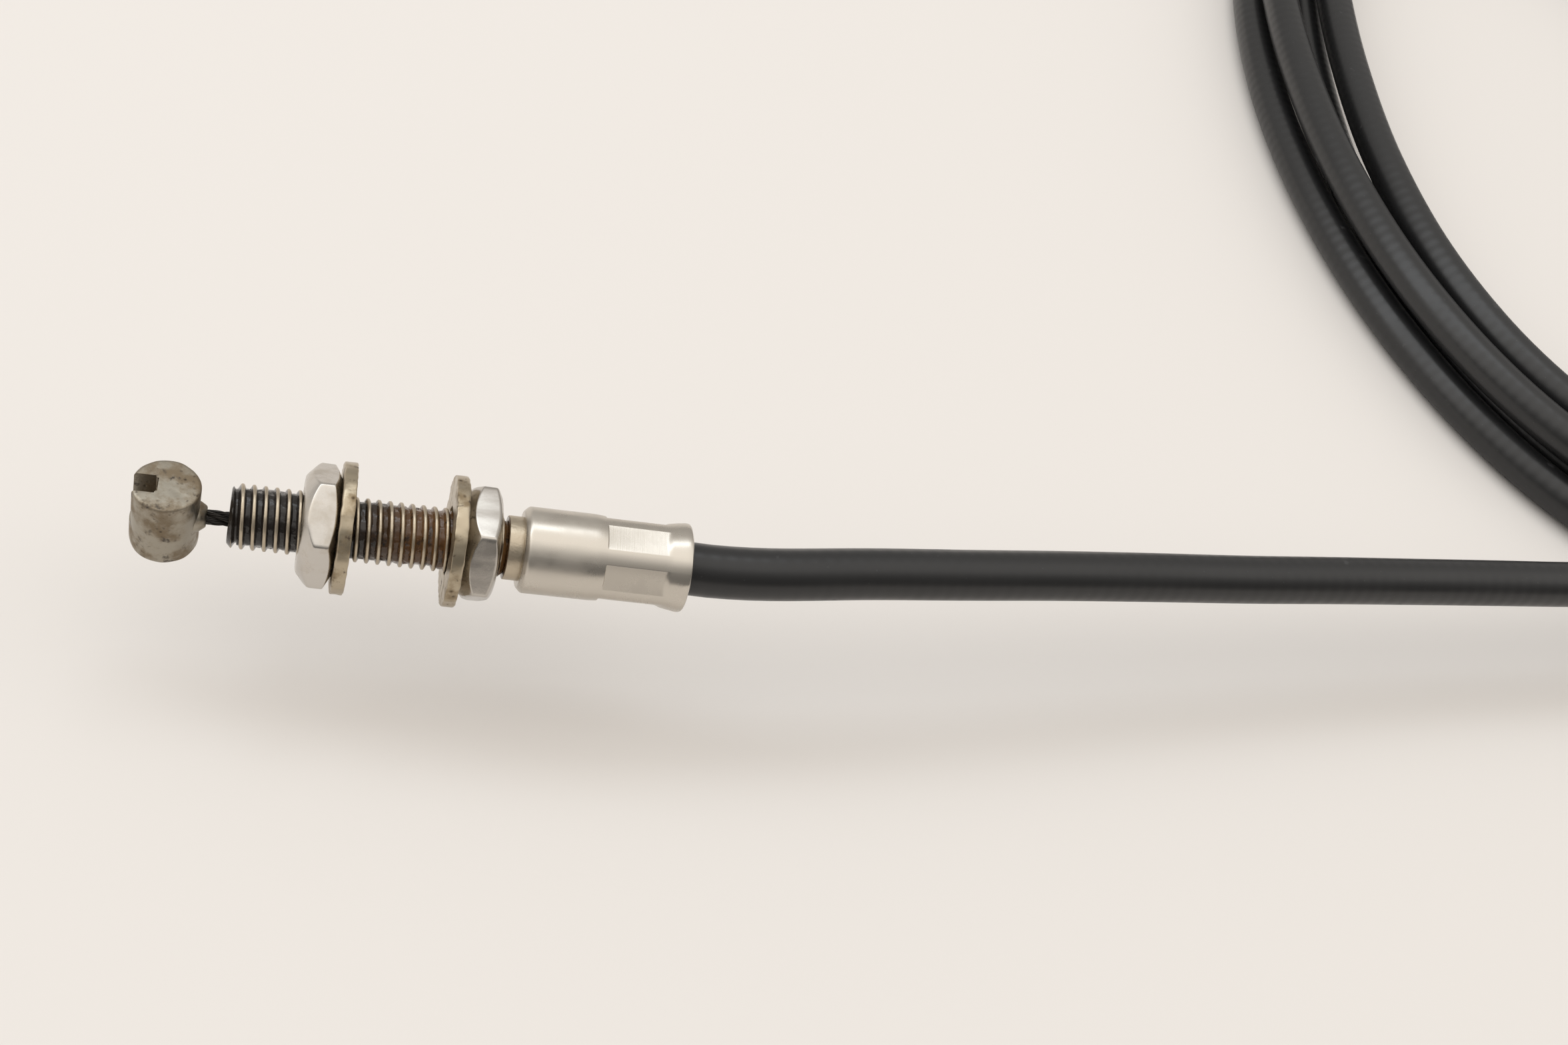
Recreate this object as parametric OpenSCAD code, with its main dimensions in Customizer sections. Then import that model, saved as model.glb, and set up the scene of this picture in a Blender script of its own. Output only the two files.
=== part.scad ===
// Control cable with a threaded adjuster end: barrel nipple, wire rope, screw, two lock nuts
// and washers, crimped ferrule, sheathed housing, its loose coil and the plain far end.
// Millimetres. +X runs along the fitting from the nipple to the housing and +Z is up.
// The origin is on the screw's axis, midway between the two washers.

/* [Adjuster screw] */
// Thread's outer diameter
thread_d = 5.85; // [5:0.05:8]
// Thread's root diameter
root_d = 4.8; // [4:0.05:7]
// Distance from one crest to the next
pitch = 1.0; // [0.75:0.25:1.5]
// Threaded length
thread_len = 24.5; // [18:0.5:40]
// Distance from the free end of the thread to the middle of the clamp gap
front_reach = 15; // [12:0.1:25]
// Bore through the screw
screw_bore = 3.0; // [2:0.1:3.4]
// Bevel at the thread's free end
end_bevel = 0.45; // [0.2:0.05:0.8]
// Facets round one turn of the thread
thread_facets = 12; // [12:4:24]
// Smooth neck between the thread and the ferrule
neck_d = 5.9; // [4.9:0.1:7]
// Neck's length
neck_len = 1.5; // [0.5:0.05:4]
// Spigot pressed through the ferrule's front wall
spigot_d = 4.6; // [4:0.1:5]

/* [Clamp] */
// Clear gap between the washers, where the bracket goes
clamp_gap = 8.8; // [4:0.1:10]
// Washer's outer diameter
washer_d = 12; // [10:0.5:16]
// Washer's thickness
washer_t = 1.2; // [0.8:0.1:2]
// Washer's hole over the thread, on the diameter
washer_slack = 0.5; // [0.2:0.1:0.8]
// Rounded break on the washer's rim
washer_break = 0.2; // [0.05:0.05:0.4]
// Nut's width across flats
nut_af = 10; // [9:0.5:13]
// Nut's thickness
nut_t = 3.2; // [2.4:0.1:5]
// Nut's bore over the thread, on the diameter
nut_slack = 0.12; // [0.06:0.02:0.3]
// Cone angle of the bevel on the nut's side that faces the nipple
nut_deep_angle = 42; // [15:1:45]
// Cone angle of the bevel on the nut's other side
nut_slight_angle = 27; // [15:1:45]
// Diameter of the flat circle that the bevels leave on each side
nut_face_d = 8.8; // [8:0.1:9.8]
// Turn of the front nut from flats facing the sides
front_nut_turn = 0; // [0:1:59]
// Turn of the rear nut from flats facing the sides
rear_nut_turn = 34; // [0:1:59]

/* [Crimp ferrule] */
// Ferrule's outer diameter
ferrule_d = 8.0; // [7:0.1:10]
// Ferrule's front wall
ferrule_wall_end = 1.8; // [1:0.1:3]
// Round body in front of the crimp
ferrule_body_len = 7.6; // [4:0.05:12]
// Run-out in front of the crimp, where the body is pressed down to the lands
crimp_runout = 0.5; // [0.3:0.1:1]
// Land left behind the flats, before the mouth flares out
land_tail = 0.3; // [0.3:0.1:1]
// Ferrule's diameter over the lands between the crimped flats
crimp_land_d = 7.85; // [7.6:0.05:10]
// Length of the six crimped flats
crimp_len = 5.7; // [4:0.1:12]
// Width across the crimped flats
crimp_af = 7.4; // [6.8:0.1:7.8]
// Turn of the crimped flats from facing the sides
crimp_turn = 37; // [0:1:59]
// Flared mouth behind the crimp
mouth_len = 2.2; // [1:0.1:4]
// Flared mouth's outer diameter
mouth_d = 8.3; // [7.5:0.05:10.5]
// Bevel at the ferrule's front edge
ferrule_bevel = 0.45; // [0.2:0.05:1]
// Break on the outer edges of the mouth and of the far cap
edge_break = 0.4; // [0.1:0.05:0.6]
// Bevel inside the mouth
mouth_bevel = 0.5; // [0.2:0.05:0.8]

/* [Housing] */
// Jacket's outer diameter
housing_d = 5.0; // [4.6:0.1:6]
// Jacket's wall
jacket_wall = 0.55; // [0.4:0.05:0.8]
// Spiral steel conduit's wall
conduit_wall = 0.65; // [0.4:0.05:0.8]
// Plastic liner's wall
liner_wall = 0.35; // [0.2:0.05:0.45]
// Housing showing in a straight line behind the ferrule
stub_len = 3.2; // [2:0.1:8]

/* [Inner wire] */
// Wire rope's diameter
wire_d = 1.4; // [1:0.1:1.6]
// Distance from the thread's end to the nipple's centre line
wire_reach = 5.5; // [4.6:0.1:12]
// How far the nipple sags below the screw's axis
wire_droop = 0.7; // [0:0.1:0.7]
// Wire's hidden length beyond the front of the housing
wire_tail = 14; // [13:0.5:15]

/* [Nipple] */
// Barrel's diameter
nipple_d = 6.0; // [5:0.1:8]
// Barrel's length
nipple_len = 7.5; // [5:0.5:12]
// Bevel at both ends of the barrel
nipple_bevel = 0.35; // [0.1:0.05:0.8]
// Width of the slot behind the wire
slot_w = 2.0; // [1.6:0.1:3]
// Depth of the slot from the barrel's back
slot_depth = 2.3; // [1:0.1:2.6]
// Length of the slot down from the barrel's top end
slot_len = 4.6; // [3.9:0.1:5]
// Collar round the wire at the barrel's side
collar_d = 2.4; // [2:0.1:4]
// How far the collar stands out of the barrel
collar_len = 0.6; // [0.4:0.1:2]

/* [Far end] */
// Cap on the far end of the housing
cap_d = 6.0; // [5.8:0.1:6.2]
// Cap's length
cap_len = 12; // [8:0.5:16]
// Cap's end wall
cap_wall_end = 1.5; // [1:0.1:3]
// Housing between the coil and the cap
far_stub_len = 6; // [4:0.5:12]
// Free wire between the cap and the far nipple's centre line
far_reach = 22; // [18:1:40]
// Wire's hidden length behind the cap's end wall
far_tail = 2.5; // [2:0.5:4]

/* [Coil tie] */
// Width of the plastic tie's band round the coil's four strands
tie_w = 2.0; // [1.6:0.2:4]
// Band's thickness
tie_t = 0.4; // [0.4:0.1:0.6]
// Room between the band and the strands
tie_slack = 0.3; // [0.3:0.05:0.6]
// Length of the tie's head across the strands
tie_head_len = 4.4; // [3:0.2:8]
// Height of the tie's head above the band
tie_head_h = 2.6; // [2:0.2:5]

/* [Hidden] */
$fn = 48;
eps = 0.02;

// Places along the fitting, from the nipple to the housing.
thread_x0 = -front_reach;
thread_x1 = thread_x0 + thread_len;
ferrule_x0 = thread_x1 + neck_len;
housing_x0 = ferrule_x0 + ferrule_wall_end;
crimp_x0 = ferrule_x0 + ferrule_body_len;
crimp_x1 = crimp_x0 + crimp_len;
ferrule_x1 = crimp_x1 + mouth_len;
stub_x1 = ferrule_x1 + stub_len;
washer_x = clamp_gap / 2;
nut_x = washer_x + washer_t;

// Bores of the housing's layers, each seated in the one outside it.
conduit_d = housing_d - 2 * jacket_wall;
liner_d = conduit_d - 2 * conduit_wall;
liner_bore = liner_d - 2 * liner_wall;

// The wire tips about a point inside the liner, so that its free end rests lower.
nipple_x = thread_x0 - wire_reach;
pivot_x = housing_x0 + wire_tail / 2;
wire_tilt = atan(wire_droop / (pivot_x - nipple_x));
nipple_run = (pivot_x - nipple_x) / cos(wire_tilt);

// The surface that the coil lies on, and the strands' heights above it.
floor_z = -17.5;
flat_cut = housing_d / 10;
low_z = floor_z + housing_d / 2;
layer_rise = 5.45;
top_z = low_z + layer_rise;

// The coil's centre line is an oval that winds in on the upper layer and out on the lower.
coil_x = 163.3;
coil_y = 112;
coil_a = 44.2;
coil_b = 80;
coil_turn0 = 330;
coil_turn1 = 1710;
ring_step = 20;
run_sides = 12;
coil_sides = 6;
top_turn = 540;
low_turn = 1620;
top_inset = 0.5;
top_pitch = 6.3;
low_pitch = 5.75;
climb0 = 960;
climb1 = 1140;
leave_turns = 45;
leave_out = 3;

// The turns spread apart on one side of the oval.
splay_at = 160;
splay_half = 65;
splay_outer = 1.9;
splay_upper = 4.6;
splay_lower = 3.0;

// ---------------------------------------------------------------- helpers

function unit(v) = v / norm(v);
function smooth(t) = let (c = min(1, max(0, t))) c * c * (3 - 2 * c);
function hermite(t, p0, m0, p1, m1) =
    (2 * t * t * t - 3 * t * t + 1) * p0 + (t * t * t - 2 * t * t + t) * m0
    + (3 * t * t - 2 * t * t * t) * p1 + (t * t * t - t * t) * m1;

// Lays a solid made along +Z down along +X, starting at x.
module along_x(x = 0) {
    translate([x, 0, 0]) rotate([0, 90, 0]) children();
}

// A solid turned about X from its half outline of [x, radius] points.
module turned(outline) {
    rotate([0, 90, 0]) rotate_extrude($fn = 96) polygon([for (p = outline) [p[1], p[0]]]);
}

module tube(x0, x1, outer, inner) {
    turned([[x0, inner / 2], [x0, outer / 2], [x1, outer / 2], [x1, inner / 2]]);
}

// ---------------------------------------------------------------- swept tubes

function quad(a, b, c, d) = [[a, b, c], [a, c, d]];

function heading(path, i) =
    let (n = len(path) - 1)
    i < 2 ? unit(path[1] - path[0])
    : i > n - 2 ? unit(path[n] - path[n - 1])
    : unit(path[i + 1] - path[i - 1]);

function ring(path, i, r, sides, start, lowest = -1000) =
    let (
        ahead = heading(path, i),
        side = unit(cross([0, 0, 1], ahead)),
        up = cross(ahead, side)
    )
    [for (k = [0 : sides - 1])
        let (
            a = start + k * 360 / sides,
            p = path[i] + r * (cos(a) * side + sin(a) * up)
        )
        [p[0], p[1], max(p[2], lowest)]];

module swept(path, r, sides, start = 0) {
    last = len(path) - 1;
    points = [for (i = [0 : last]) each ring(path, i, r, sides, start)];
    walls = [for (i = [0 : last - 1], k = [0 : sides - 1])
        let (a = i * sides + k, b = i * sides + (k + 1) % sides)
        each quad(a, b, b + sides, a + sides)];
    front = [for (k = [1 : sides - 2]) [0, k + 1, k]];
    back = [for (k = [1 : sides - 2]) [last * sides, last * sides + k, last * sides + k + 1]];
    polyhedron(points = points, faces = concat(walls, front, back), convexity = 20);
}

// The same with a bore. Its outside goes no lower than a given height.
module swept_tube(path, r, bore_r, sides, start = 0, lowest = -1000) {
    last = len(path) - 1;
    inner = (last + 1) * sides;
    points = concat(
        [for (i = [0 : last]) each ring(path, i, r, sides, start, lowest)],
        [for (i = [0 : last]) each ring(path, i, bore_r, sides, start)]
    );
    walls = [for (i = [0 : last - 1], k = [0 : sides - 1])
        let (a = i * sides + k, b = i * sides + (k + 1) % sides)
        each concat(
            quad(a, b, b + sides, a + sides),
            quad(inner + a, inner + a + sides, inner + b + sides, inner + b)
        )];
    ends = [for (k = [0 : sides - 1])
        let (a = k, b = (k + 1) % sides, c = last * sides + a, d = last * sides + b)
        each concat(quad(a, inner + a, inner + b, b), quad(c, d, inner + d, inner + c))];
    polyhedron(points = points, faces = concat(walls, ends), convexity = 20);
}

// ---------------------------------------------------------------- coil

function side_of(turn) = turn - 360 * floor(turn / 360);
function top_inward(turn) = top_inset + top_pitch * (turn - top_turn) / 360;
function low_inward(turn) = low_pitch * (low_turn - turn) / 360;
function climb_share(turn) = (turn - climb0) / (climb1 - climb0);
function climb_inward(turn) =
    hermite(
        climb_share(turn),
        top_inward(climb0), top_pitch * (climb1 - climb0) / 360,
        low_inward(climb1), -low_pitch * (climb1 - climb0) / 360
    );
function leave_share(turn) = max(0, (turn - coil_turn1 + leave_turns) / leave_turns);

function splay(turn) =
    let (from = side_of(turn) - splay_at)
    abs(from) > splay_half ? 0 : (1 + cos(180 * from / splay_half)) / 2;
function spread_by(turn) =
    turn < climb0
    ? splay_outer + (splay_upper - splay_outer) * (top_inward(turn) - top_inset) / top_pitch
    : splay_lower * low_inward(turn) / low_pitch;

function inward(turn) =
    (turn < climb0 ? top_inward(turn) : turn > climb1 ? low_inward(turn) : climb_inward(turn))
    + spread_by(turn) * splay(turn)
    - leave_out * pow(leave_share(turn), 2);

// The far end lies on the surface by its nipple's side.
far_z = floor_z + flat_cut + nipple_d / 2;
function coil_z(turn) =
    top_z + (low_z - top_z) * smooth(climb_share(turn))
    + (far_z - low_z) * pow(leave_share(turn), 2);

function coil_point(turn) = [
    coil_x + (coil_a - inward(turn)) * cos(turn),
    coil_y + (coil_b - inward(turn)) * sin(turn),
    coil_z(turn)
];

// Both ends of the coil run straight and level for one diameter.
function level(v) = unit([v[0], v[1], 0]);
coil_in = level(coil_point(coil_turn0 + 1) - coil_point(coil_turn0));
coil_out = level(coil_point(coil_turn1) - coil_point(coil_turn1 - 1));
coil_start = coil_point(coil_turn0) - housing_d * coil_in;
coil_end = coil_point(coil_turn1) + housing_d * coil_out;
coil_path = concat(
    [coil_start],
    [for (t = [coil_turn0 : ring_step : coil_turn1]) coil_point(t)],
    [coil_end]
);

// The least room that one turn leaves another, from points half a ring apart.
gap_points = [for (t = [coil_turn0 : ring_step / 2 : coil_turn1]) coil_point(t)];
gap_skip = round(180 / (ring_step / 2));
coil_gap = min([
    for (i = [0 : len(gap_points) - 1 - gap_skip], j = [i + gap_skip : len(gap_points) - 1])
        norm(gap_points[i] - gap_points[j])
]) - housing_d;
echo(coil_least_gap_mm = coil_gap);

function path_length(path) =
    let (steps = [for (i = [1 : len(path) - 1]) norm(path[i] - path[i - 1])])
    steps * [for (s = steps) 1];

// ---------------------------------------------------------------- housing's free run

// It leaves the ferrule straight and sinks gently until it comes down onto the coil.
run_points = [
    [35.5, 0.5, 0], [45.1, 2.2, -0.3], [55.4, 3.95, -0.8], [65.9, 5.85, -1.4],
    [76.7, 7.75, -2.1], [87.6, 9.6, -2.8], [98.8, 11.55, -3.4], [108.7, 13.2, -3.9],
    [118.9, 14.8, -4.3], [129.1, 16.3, -4.6], [138.5, 17.9, -4.8], [148, 19.8, -4.9],
    [157.5, 22.3, -5], [166.3, 25.2, -5.2], [174.4, 28.8, -5.7], [183.3, 35.3, -7.1],
    [190.8, 43.6, -8.6], [196.8, 52.5, -9.35]
];
run_start = [stub_x1, 0, 0];
run_path = concat(
    [run_start, run_start + [housing_d, 0, 0]],
    run_points,
    [coil_start - housing_d * coil_in, coil_start]
);
echo(free_run_mm = path_length(run_path), coil_mm = path_length(coil_path));

// ---------------------------------------------------------------- nipples and wire

module barrel(slotted) {
    half = nipple_len / 2;
    r = nipple_d / 2;
    difference() {
        union() {
            rotate_extrude($fn = 96) polygon([
                [0, -half], [r - nipple_bevel, -half], [r, -half + nipple_bevel],
                [r, half - nipple_bevel], [r - nipple_bevel, half], [0, half]
            ]);
            intersection() {
                turned([
                    [0, 0], [0, collar_d / 2 + 0.2], [r, collar_d / 2 + 0.2],
                    [r + collar_len, collar_d / 2 - 0.2], [r + collar_len, 0]
                ]);
                translate([0, -r, -r]) cube(2 * r);
            }
        }
        along_x(-r) cylinder(d = wire_d, h = 3 * r);
        if (slotted)
            translate([-r - eps, -slot_w / 2, half - slot_len])
                cube([slot_depth + eps, slot_w, slot_len + 1]);
    }
}

module nipple() {
    color("lightsteelblue") droop() translate([-nipple_run, 0, 0]) barrel(true);
}

// Tips what the wire carries about its pivot in the liner.
module droop() {
    translate([pivot_x, 0, 0]) rotate([0, -wire_tilt, 0]) children();
}

module inner_wire() {
    x0 = -nipple_run - nipple_d / 2 + slot_depth;
    color("dimgray") droop() along_x(x0) cylinder(d = wire_d, h = wire_tail / 2 - x0);
}

// ---------------------------------------------------------------- adjuster screw

// A helical thread along +Z: columns round the axis, each a share of a pitch higher.
thread_profile = [[0, root_d / 2], [0.4, thread_d / 2], [0.6, thread_d / 2]];

module thread(length) {
    n = thread_facets;
    k = len(thread_profile);
    rows = k * (ceil(length / pitch) + 2);
    function at(i, r) =
        let (p = thread_profile[r % k], a = 360 * i / n)
        [p[1] * cos(a), p[1] * sin(a), pitch * (i / n + p[0] + floor(r / k) - 2)];
    function index(i, r) = i == 0 ? r : rows + k + 1 + (i - 1) * (rows + 1) + r;
    function next(i, r) = i < n - 1 ? index(i + 1, r) : index(0, r + k);
    points = concat(
        [for (r = [0 : rows + k]) at(0, r)],
        [for (i = [1 : n - 1], r = [0 : rows]) at(i, r)],
        [[0, 0, at(0, 0)[2]], [0, 0, at(0, rows + k)[2]]]
    );
    below = len(points) - 2;
    above = len(points) - 1;
    skin = [for (i = [0 : n - 1], r = [0 : rows - 1])
        each [
            [index(i, r), index(i, r + 1), next(i, r + 1)],
            [index(i, r), next(i, r + 1), next(i, r)]
        ]];
    foot = concat([for (i = [0 : n - 1]) index(i, 0)], [for (r = [k : -1 : 0]) index(0, r)]);
    head = concat(
        [for (i = [0 : n - 1]) index(i, rows)],
        [for (r = [k : -1 : 0]) index(0, rows + r)]
    );
    caps = concat(
        [for (j = [0 : len(foot) - 2]) [foot[j], foot[j + 1], below]],
        [for (j = [0 : len(head) - 2]) [head[j + 1], head[j], above]]
    );
    polyhedron(points = points, faces = concat(skin, caps), convexity = 20);
}

module adjuster_screw() {
    r = thread_d / 2;
    color("darkkhaki") difference() {
        union() {
            intersection() {
                along_x(thread_x0) thread(thread_len);
                turned([
                    [thread_x0, 0], [thread_x0, r - end_bevel], [thread_x0 + end_bevel, r + 0.1],
                    [thread_x1 - end_bevel, r + 0.1], [thread_x1, r - end_bevel], [thread_x1, 0]
                ]);
            }
            along_x(thread_x1 - pitch) cylinder(d = root_d - 0.02, h = pitch + neck_len / 2);
            along_x(thread_x1) cylinder(d = neck_d, h = neck_len);
            along_x(thread_x1) cylinder(d = spigot_d, h = neck_len + ferrule_wall_end);
        }
        along_x(thread_x0 - eps) cylinder(d = screw_bore, h = housing_x0 - thread_x0 + 2 * eps);
    }
}

// ---------------------------------------------------------------- nuts and washers

// A hexagon nut along +Z with both faces' corners bevelled and its bore plain.
// A nut on the +Z side of its seat, with its deeper bevel on top.
module nut() {
    corner = nut_af / 2 / cos(30);
    face = nut_face_d / 2;
    deep = (corner - face) * tan(nut_deep_angle);
    slight = (corner - face) * tan(nut_slight_angle);
    bore = (thread_d + nut_slack) / 2;
    difference() {
        intersection() {
            rotate(90) cylinder(r = corner, h = nut_t, $fn = 6);
            rotate_extrude($fn = 96) polygon([
                [0, 0], [face, 0], [corner, slight], [corner, nut_t - deep],
                [face, nut_t], [0, nut_t]
            ]);
        }
        translate([0, 0, -1]) cylinder(r = bore, h = nut_t + 2, $fn = 96);
        for (face = [0, 1])
            translate([0, 0, face * nut_t]) mirror([0, 0, face])
                rotate_extrude($fn = 96) polygon([
                    [0, -eps], [bore + 0.45 + eps, -eps], [bore - eps, 0.45], [0, 0.45]
                ]);
    }
}

module front_nut() {
    color("silver") translate([-nut_x, 0, 0]) rotate([front_nut_turn, 0, 0])
        rotate([0, -90, 0]) rotate(90) nut();
}

module rear_nut() {
    color("gainsboro") translate([nut_x + nut_t, 0, 0]) rotate([rear_nut_turn, 0, 0])
        rotate([0, -90, 0]) rotate(90) nut();
}

module washer(x) {
    inner = (thread_d + washer_slack) / 2;
    outer = washer_d / 2;
    turned([
        [x, inner], [x, outer - washer_break], [x + washer_break, outer],
        [x + washer_t - washer_break, outer], [x + washer_t, outer - washer_break],
        [x + washer_t, inner]
    ]);
}

module front_washer() {
    color("tan") washer(-washer_x - washer_t);
}

module rear_washer() {
    color("burlywood") washer(washer_x);
}

// ---------------------------------------------------------------- ferrule

module crimp_ferrule() {
    r = ferrule_d / 2;
    land = crimp_land_d / 2;
    color("lightgray") difference() {
        turned([
            [ferrule_x0, spigot_d / 2], [ferrule_x0, r - ferrule_bevel],
            [ferrule_x0 + ferrule_bevel, r], [crimp_x0 - 2 * crimp_runout, r],
            [crimp_x0 - crimp_runout, land], [crimp_x1 + land_tail, land],
            [ferrule_x1 - edge_break, mouth_d / 2], [ferrule_x1, mouth_d / 2 - edge_break],
            [ferrule_x1, housing_d / 2 + mouth_bevel],
            [ferrule_x1 - mouth_bevel, housing_d / 2], [housing_x0, housing_d / 2],
            [housing_x0, spigot_d / 2]
        ]);
        for (k = [0 : 5])
            rotate([crimp_turn + 60 * k, 0, 0])
                translate([crimp_x0, crimp_af / 2, -r])
                    cube([crimp_len, r, 2 * r]);
    }
}

// ---------------------------------------------------------------- housing

module jacket_end() {
    color("dimgray") tube(housing_x0, stub_x1, housing_d, conduit_d);
}

module conduit_end() {
    color("slategray") tube(housing_x0, stub_x1, conduit_d, liner_d);
}

module liner_end() {
    color("whitesmoke") tube(housing_x0, stub_x1, liner_d, liner_bore);
}

module housing_run() {
    color([0.2, 0.2, 0.2])
        swept_tube(run_path, housing_d / 2, conduit_d / 2, run_sides, 180 / run_sides);
}

// Along the run and the coil, the conduit is solid and stands for the liner and wire too.
module run_conduit() {
    color("slategray") swept(run_path, conduit_d / 2, coil_sides, 180 / run_sides);
}

module housing_coil() {
    color([0.25, 0.25, 0.25])
        swept_tube(coil_path, housing_d / 2, conduit_d / 2, coil_sides, 0, floor_z + flat_cut);
}

module coil_conduit() {
    color("slategray") swept(coil_path, conduit_d / 2, coil_sides);
}

// ---------------------------------------------------------------- coil tie

// The tie closes round the strands where the coil's far side runs level along X.
tie_turn = 90;
tied = [for (t = [tie_turn + 360 : 360 : coil_turn1]) coil_point(t)];
tied_middle = (min([for (p = tied) p[1]]) + max([for (p = tied) p[1]])) / 2;

module tie_outline(grow, lowest) {
    intersection() {
        hull()
            for (p = tied)
                translate([p[1], p[2]]) circle(r = housing_d / 2 + grow, $fn = 12);
        translate([tied_middle - coil_b, lowest]) square(2 * coil_b);
    }
}

module coil_tie() {
    band_top = top_z + housing_d / 2 + tie_slack;
    cut_z = floor_z + flat_cut;
    color("ivory") translate([coil_x, 0, 0]) rotate([90, 0, 90])
        linear_extrude(tie_w, center = true) {
            difference() {
                tie_outline(tie_slack + tie_t, cut_z - tie_t);
                tie_outline(tie_slack, cut_z);
            }
            translate([tied_middle, band_top]) square([tie_head_len, tie_head_h + tie_t]);
        }
}

// ---------------------------------------------------------------- far end

far_turn = atan2(coil_out[1], coil_out[0]);
far_cap_x0 = far_stub_len;
far_cap_x1 = far_cap_x0 + cap_len;
far_housing_x1 = far_cap_x1 - cap_wall_end;
far_nipple_x = far_cap_x1 + far_reach;
echo(far_heading = coil_out, far_nipple_at = coil_end + far_nipple_x * coil_out);

// Places the far end, made along +X, where the coil ends.
module at_far_end() {
    translate(coil_end) rotate([0, 0, far_turn]) children();
}

module far_jacket_end() {
    color("dimgray") at_far_end() tube(0, far_housing_x1, housing_d, conduit_d);
}

module far_conduit_end() {
    color("slategray") at_far_end() tube(0, far_housing_x1, conduit_d, liner_d);
}

module far_liner_end() {
    color("whitesmoke") at_far_end() tube(0, far_housing_x1, liner_d, liner_bore);
}

module far_cap() {
    r = cap_d / 2;
    hole = (wire_d + 0.6) / 2;
    color("lightgray") at_far_end() turned([
        [far_cap_x0, housing_d / 2], [far_cap_x0, r],
        [far_cap_x1 - edge_break, r], [far_cap_x1, r - edge_break], [far_cap_x1, hole],
        [far_housing_x1, hole], [far_housing_x1, housing_d / 2]
    ]);
}

module far_inner_wire() {
    x0 = far_housing_x1 - far_tail;
    color("dimgray") at_far_end() along_x(x0)
        cylinder(d = wire_d, h = far_nipple_x - x0 + nipple_d / 2);
}

module far_nipple() {
    color("lightsteelblue") at_far_end()
        translate([far_nipple_x, 0, 0]) rotate([90, 0, 0]) mirror([1, 0, 0]) barrel(false);
}

// ---------------------------------------------------------------- nodes

nipple();
inner_wire();
adjuster_screw();
front_nut();
front_washer();
rear_washer();
rear_nut();
crimp_ferrule();
jacket_end();
conduit_end();
liner_end();
housing_run();
run_conduit();
housing_coil();
coil_conduit();
coil_tie();
far_jacket_end();
far_conduit_end();
far_liner_end();
far_cap();
far_inner_wire();
far_nipple();
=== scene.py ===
"""Control cable with a threaded adjuster, its lock nuts and a coiled housing, lying on a pale sheet."""

from __future__ import annotations

import logging
import math
from collections.abc import Callable, Sequence
from dataclasses import dataclass
from enum import Enum

import bmesh
import bpy
from mathutils import Matrix, Vector, noise

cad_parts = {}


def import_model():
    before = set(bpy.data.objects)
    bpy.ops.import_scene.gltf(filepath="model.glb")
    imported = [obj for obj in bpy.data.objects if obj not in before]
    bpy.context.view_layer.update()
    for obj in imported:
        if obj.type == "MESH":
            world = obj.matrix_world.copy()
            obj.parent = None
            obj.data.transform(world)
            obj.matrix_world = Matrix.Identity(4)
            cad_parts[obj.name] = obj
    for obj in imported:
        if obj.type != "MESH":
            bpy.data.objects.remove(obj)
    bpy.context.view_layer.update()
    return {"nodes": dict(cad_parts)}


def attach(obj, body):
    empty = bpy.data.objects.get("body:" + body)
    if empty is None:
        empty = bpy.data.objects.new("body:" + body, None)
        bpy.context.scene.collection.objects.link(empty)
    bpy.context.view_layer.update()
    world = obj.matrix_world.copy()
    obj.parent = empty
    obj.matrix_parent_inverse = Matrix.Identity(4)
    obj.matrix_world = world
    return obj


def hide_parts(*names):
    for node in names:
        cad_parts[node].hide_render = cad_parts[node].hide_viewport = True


log = logging.getLogger("cable")

MM = 0.001
# The angle in degrees past which an edge stays sharp, where a piece has none of its own.
SHARP = 35.0

Colour = tuple[float, float, float]
Node = bpy.types.Node
Socket = bpy.types.NodeSocket


# ---------------------------------------------------------------- node trees


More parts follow.
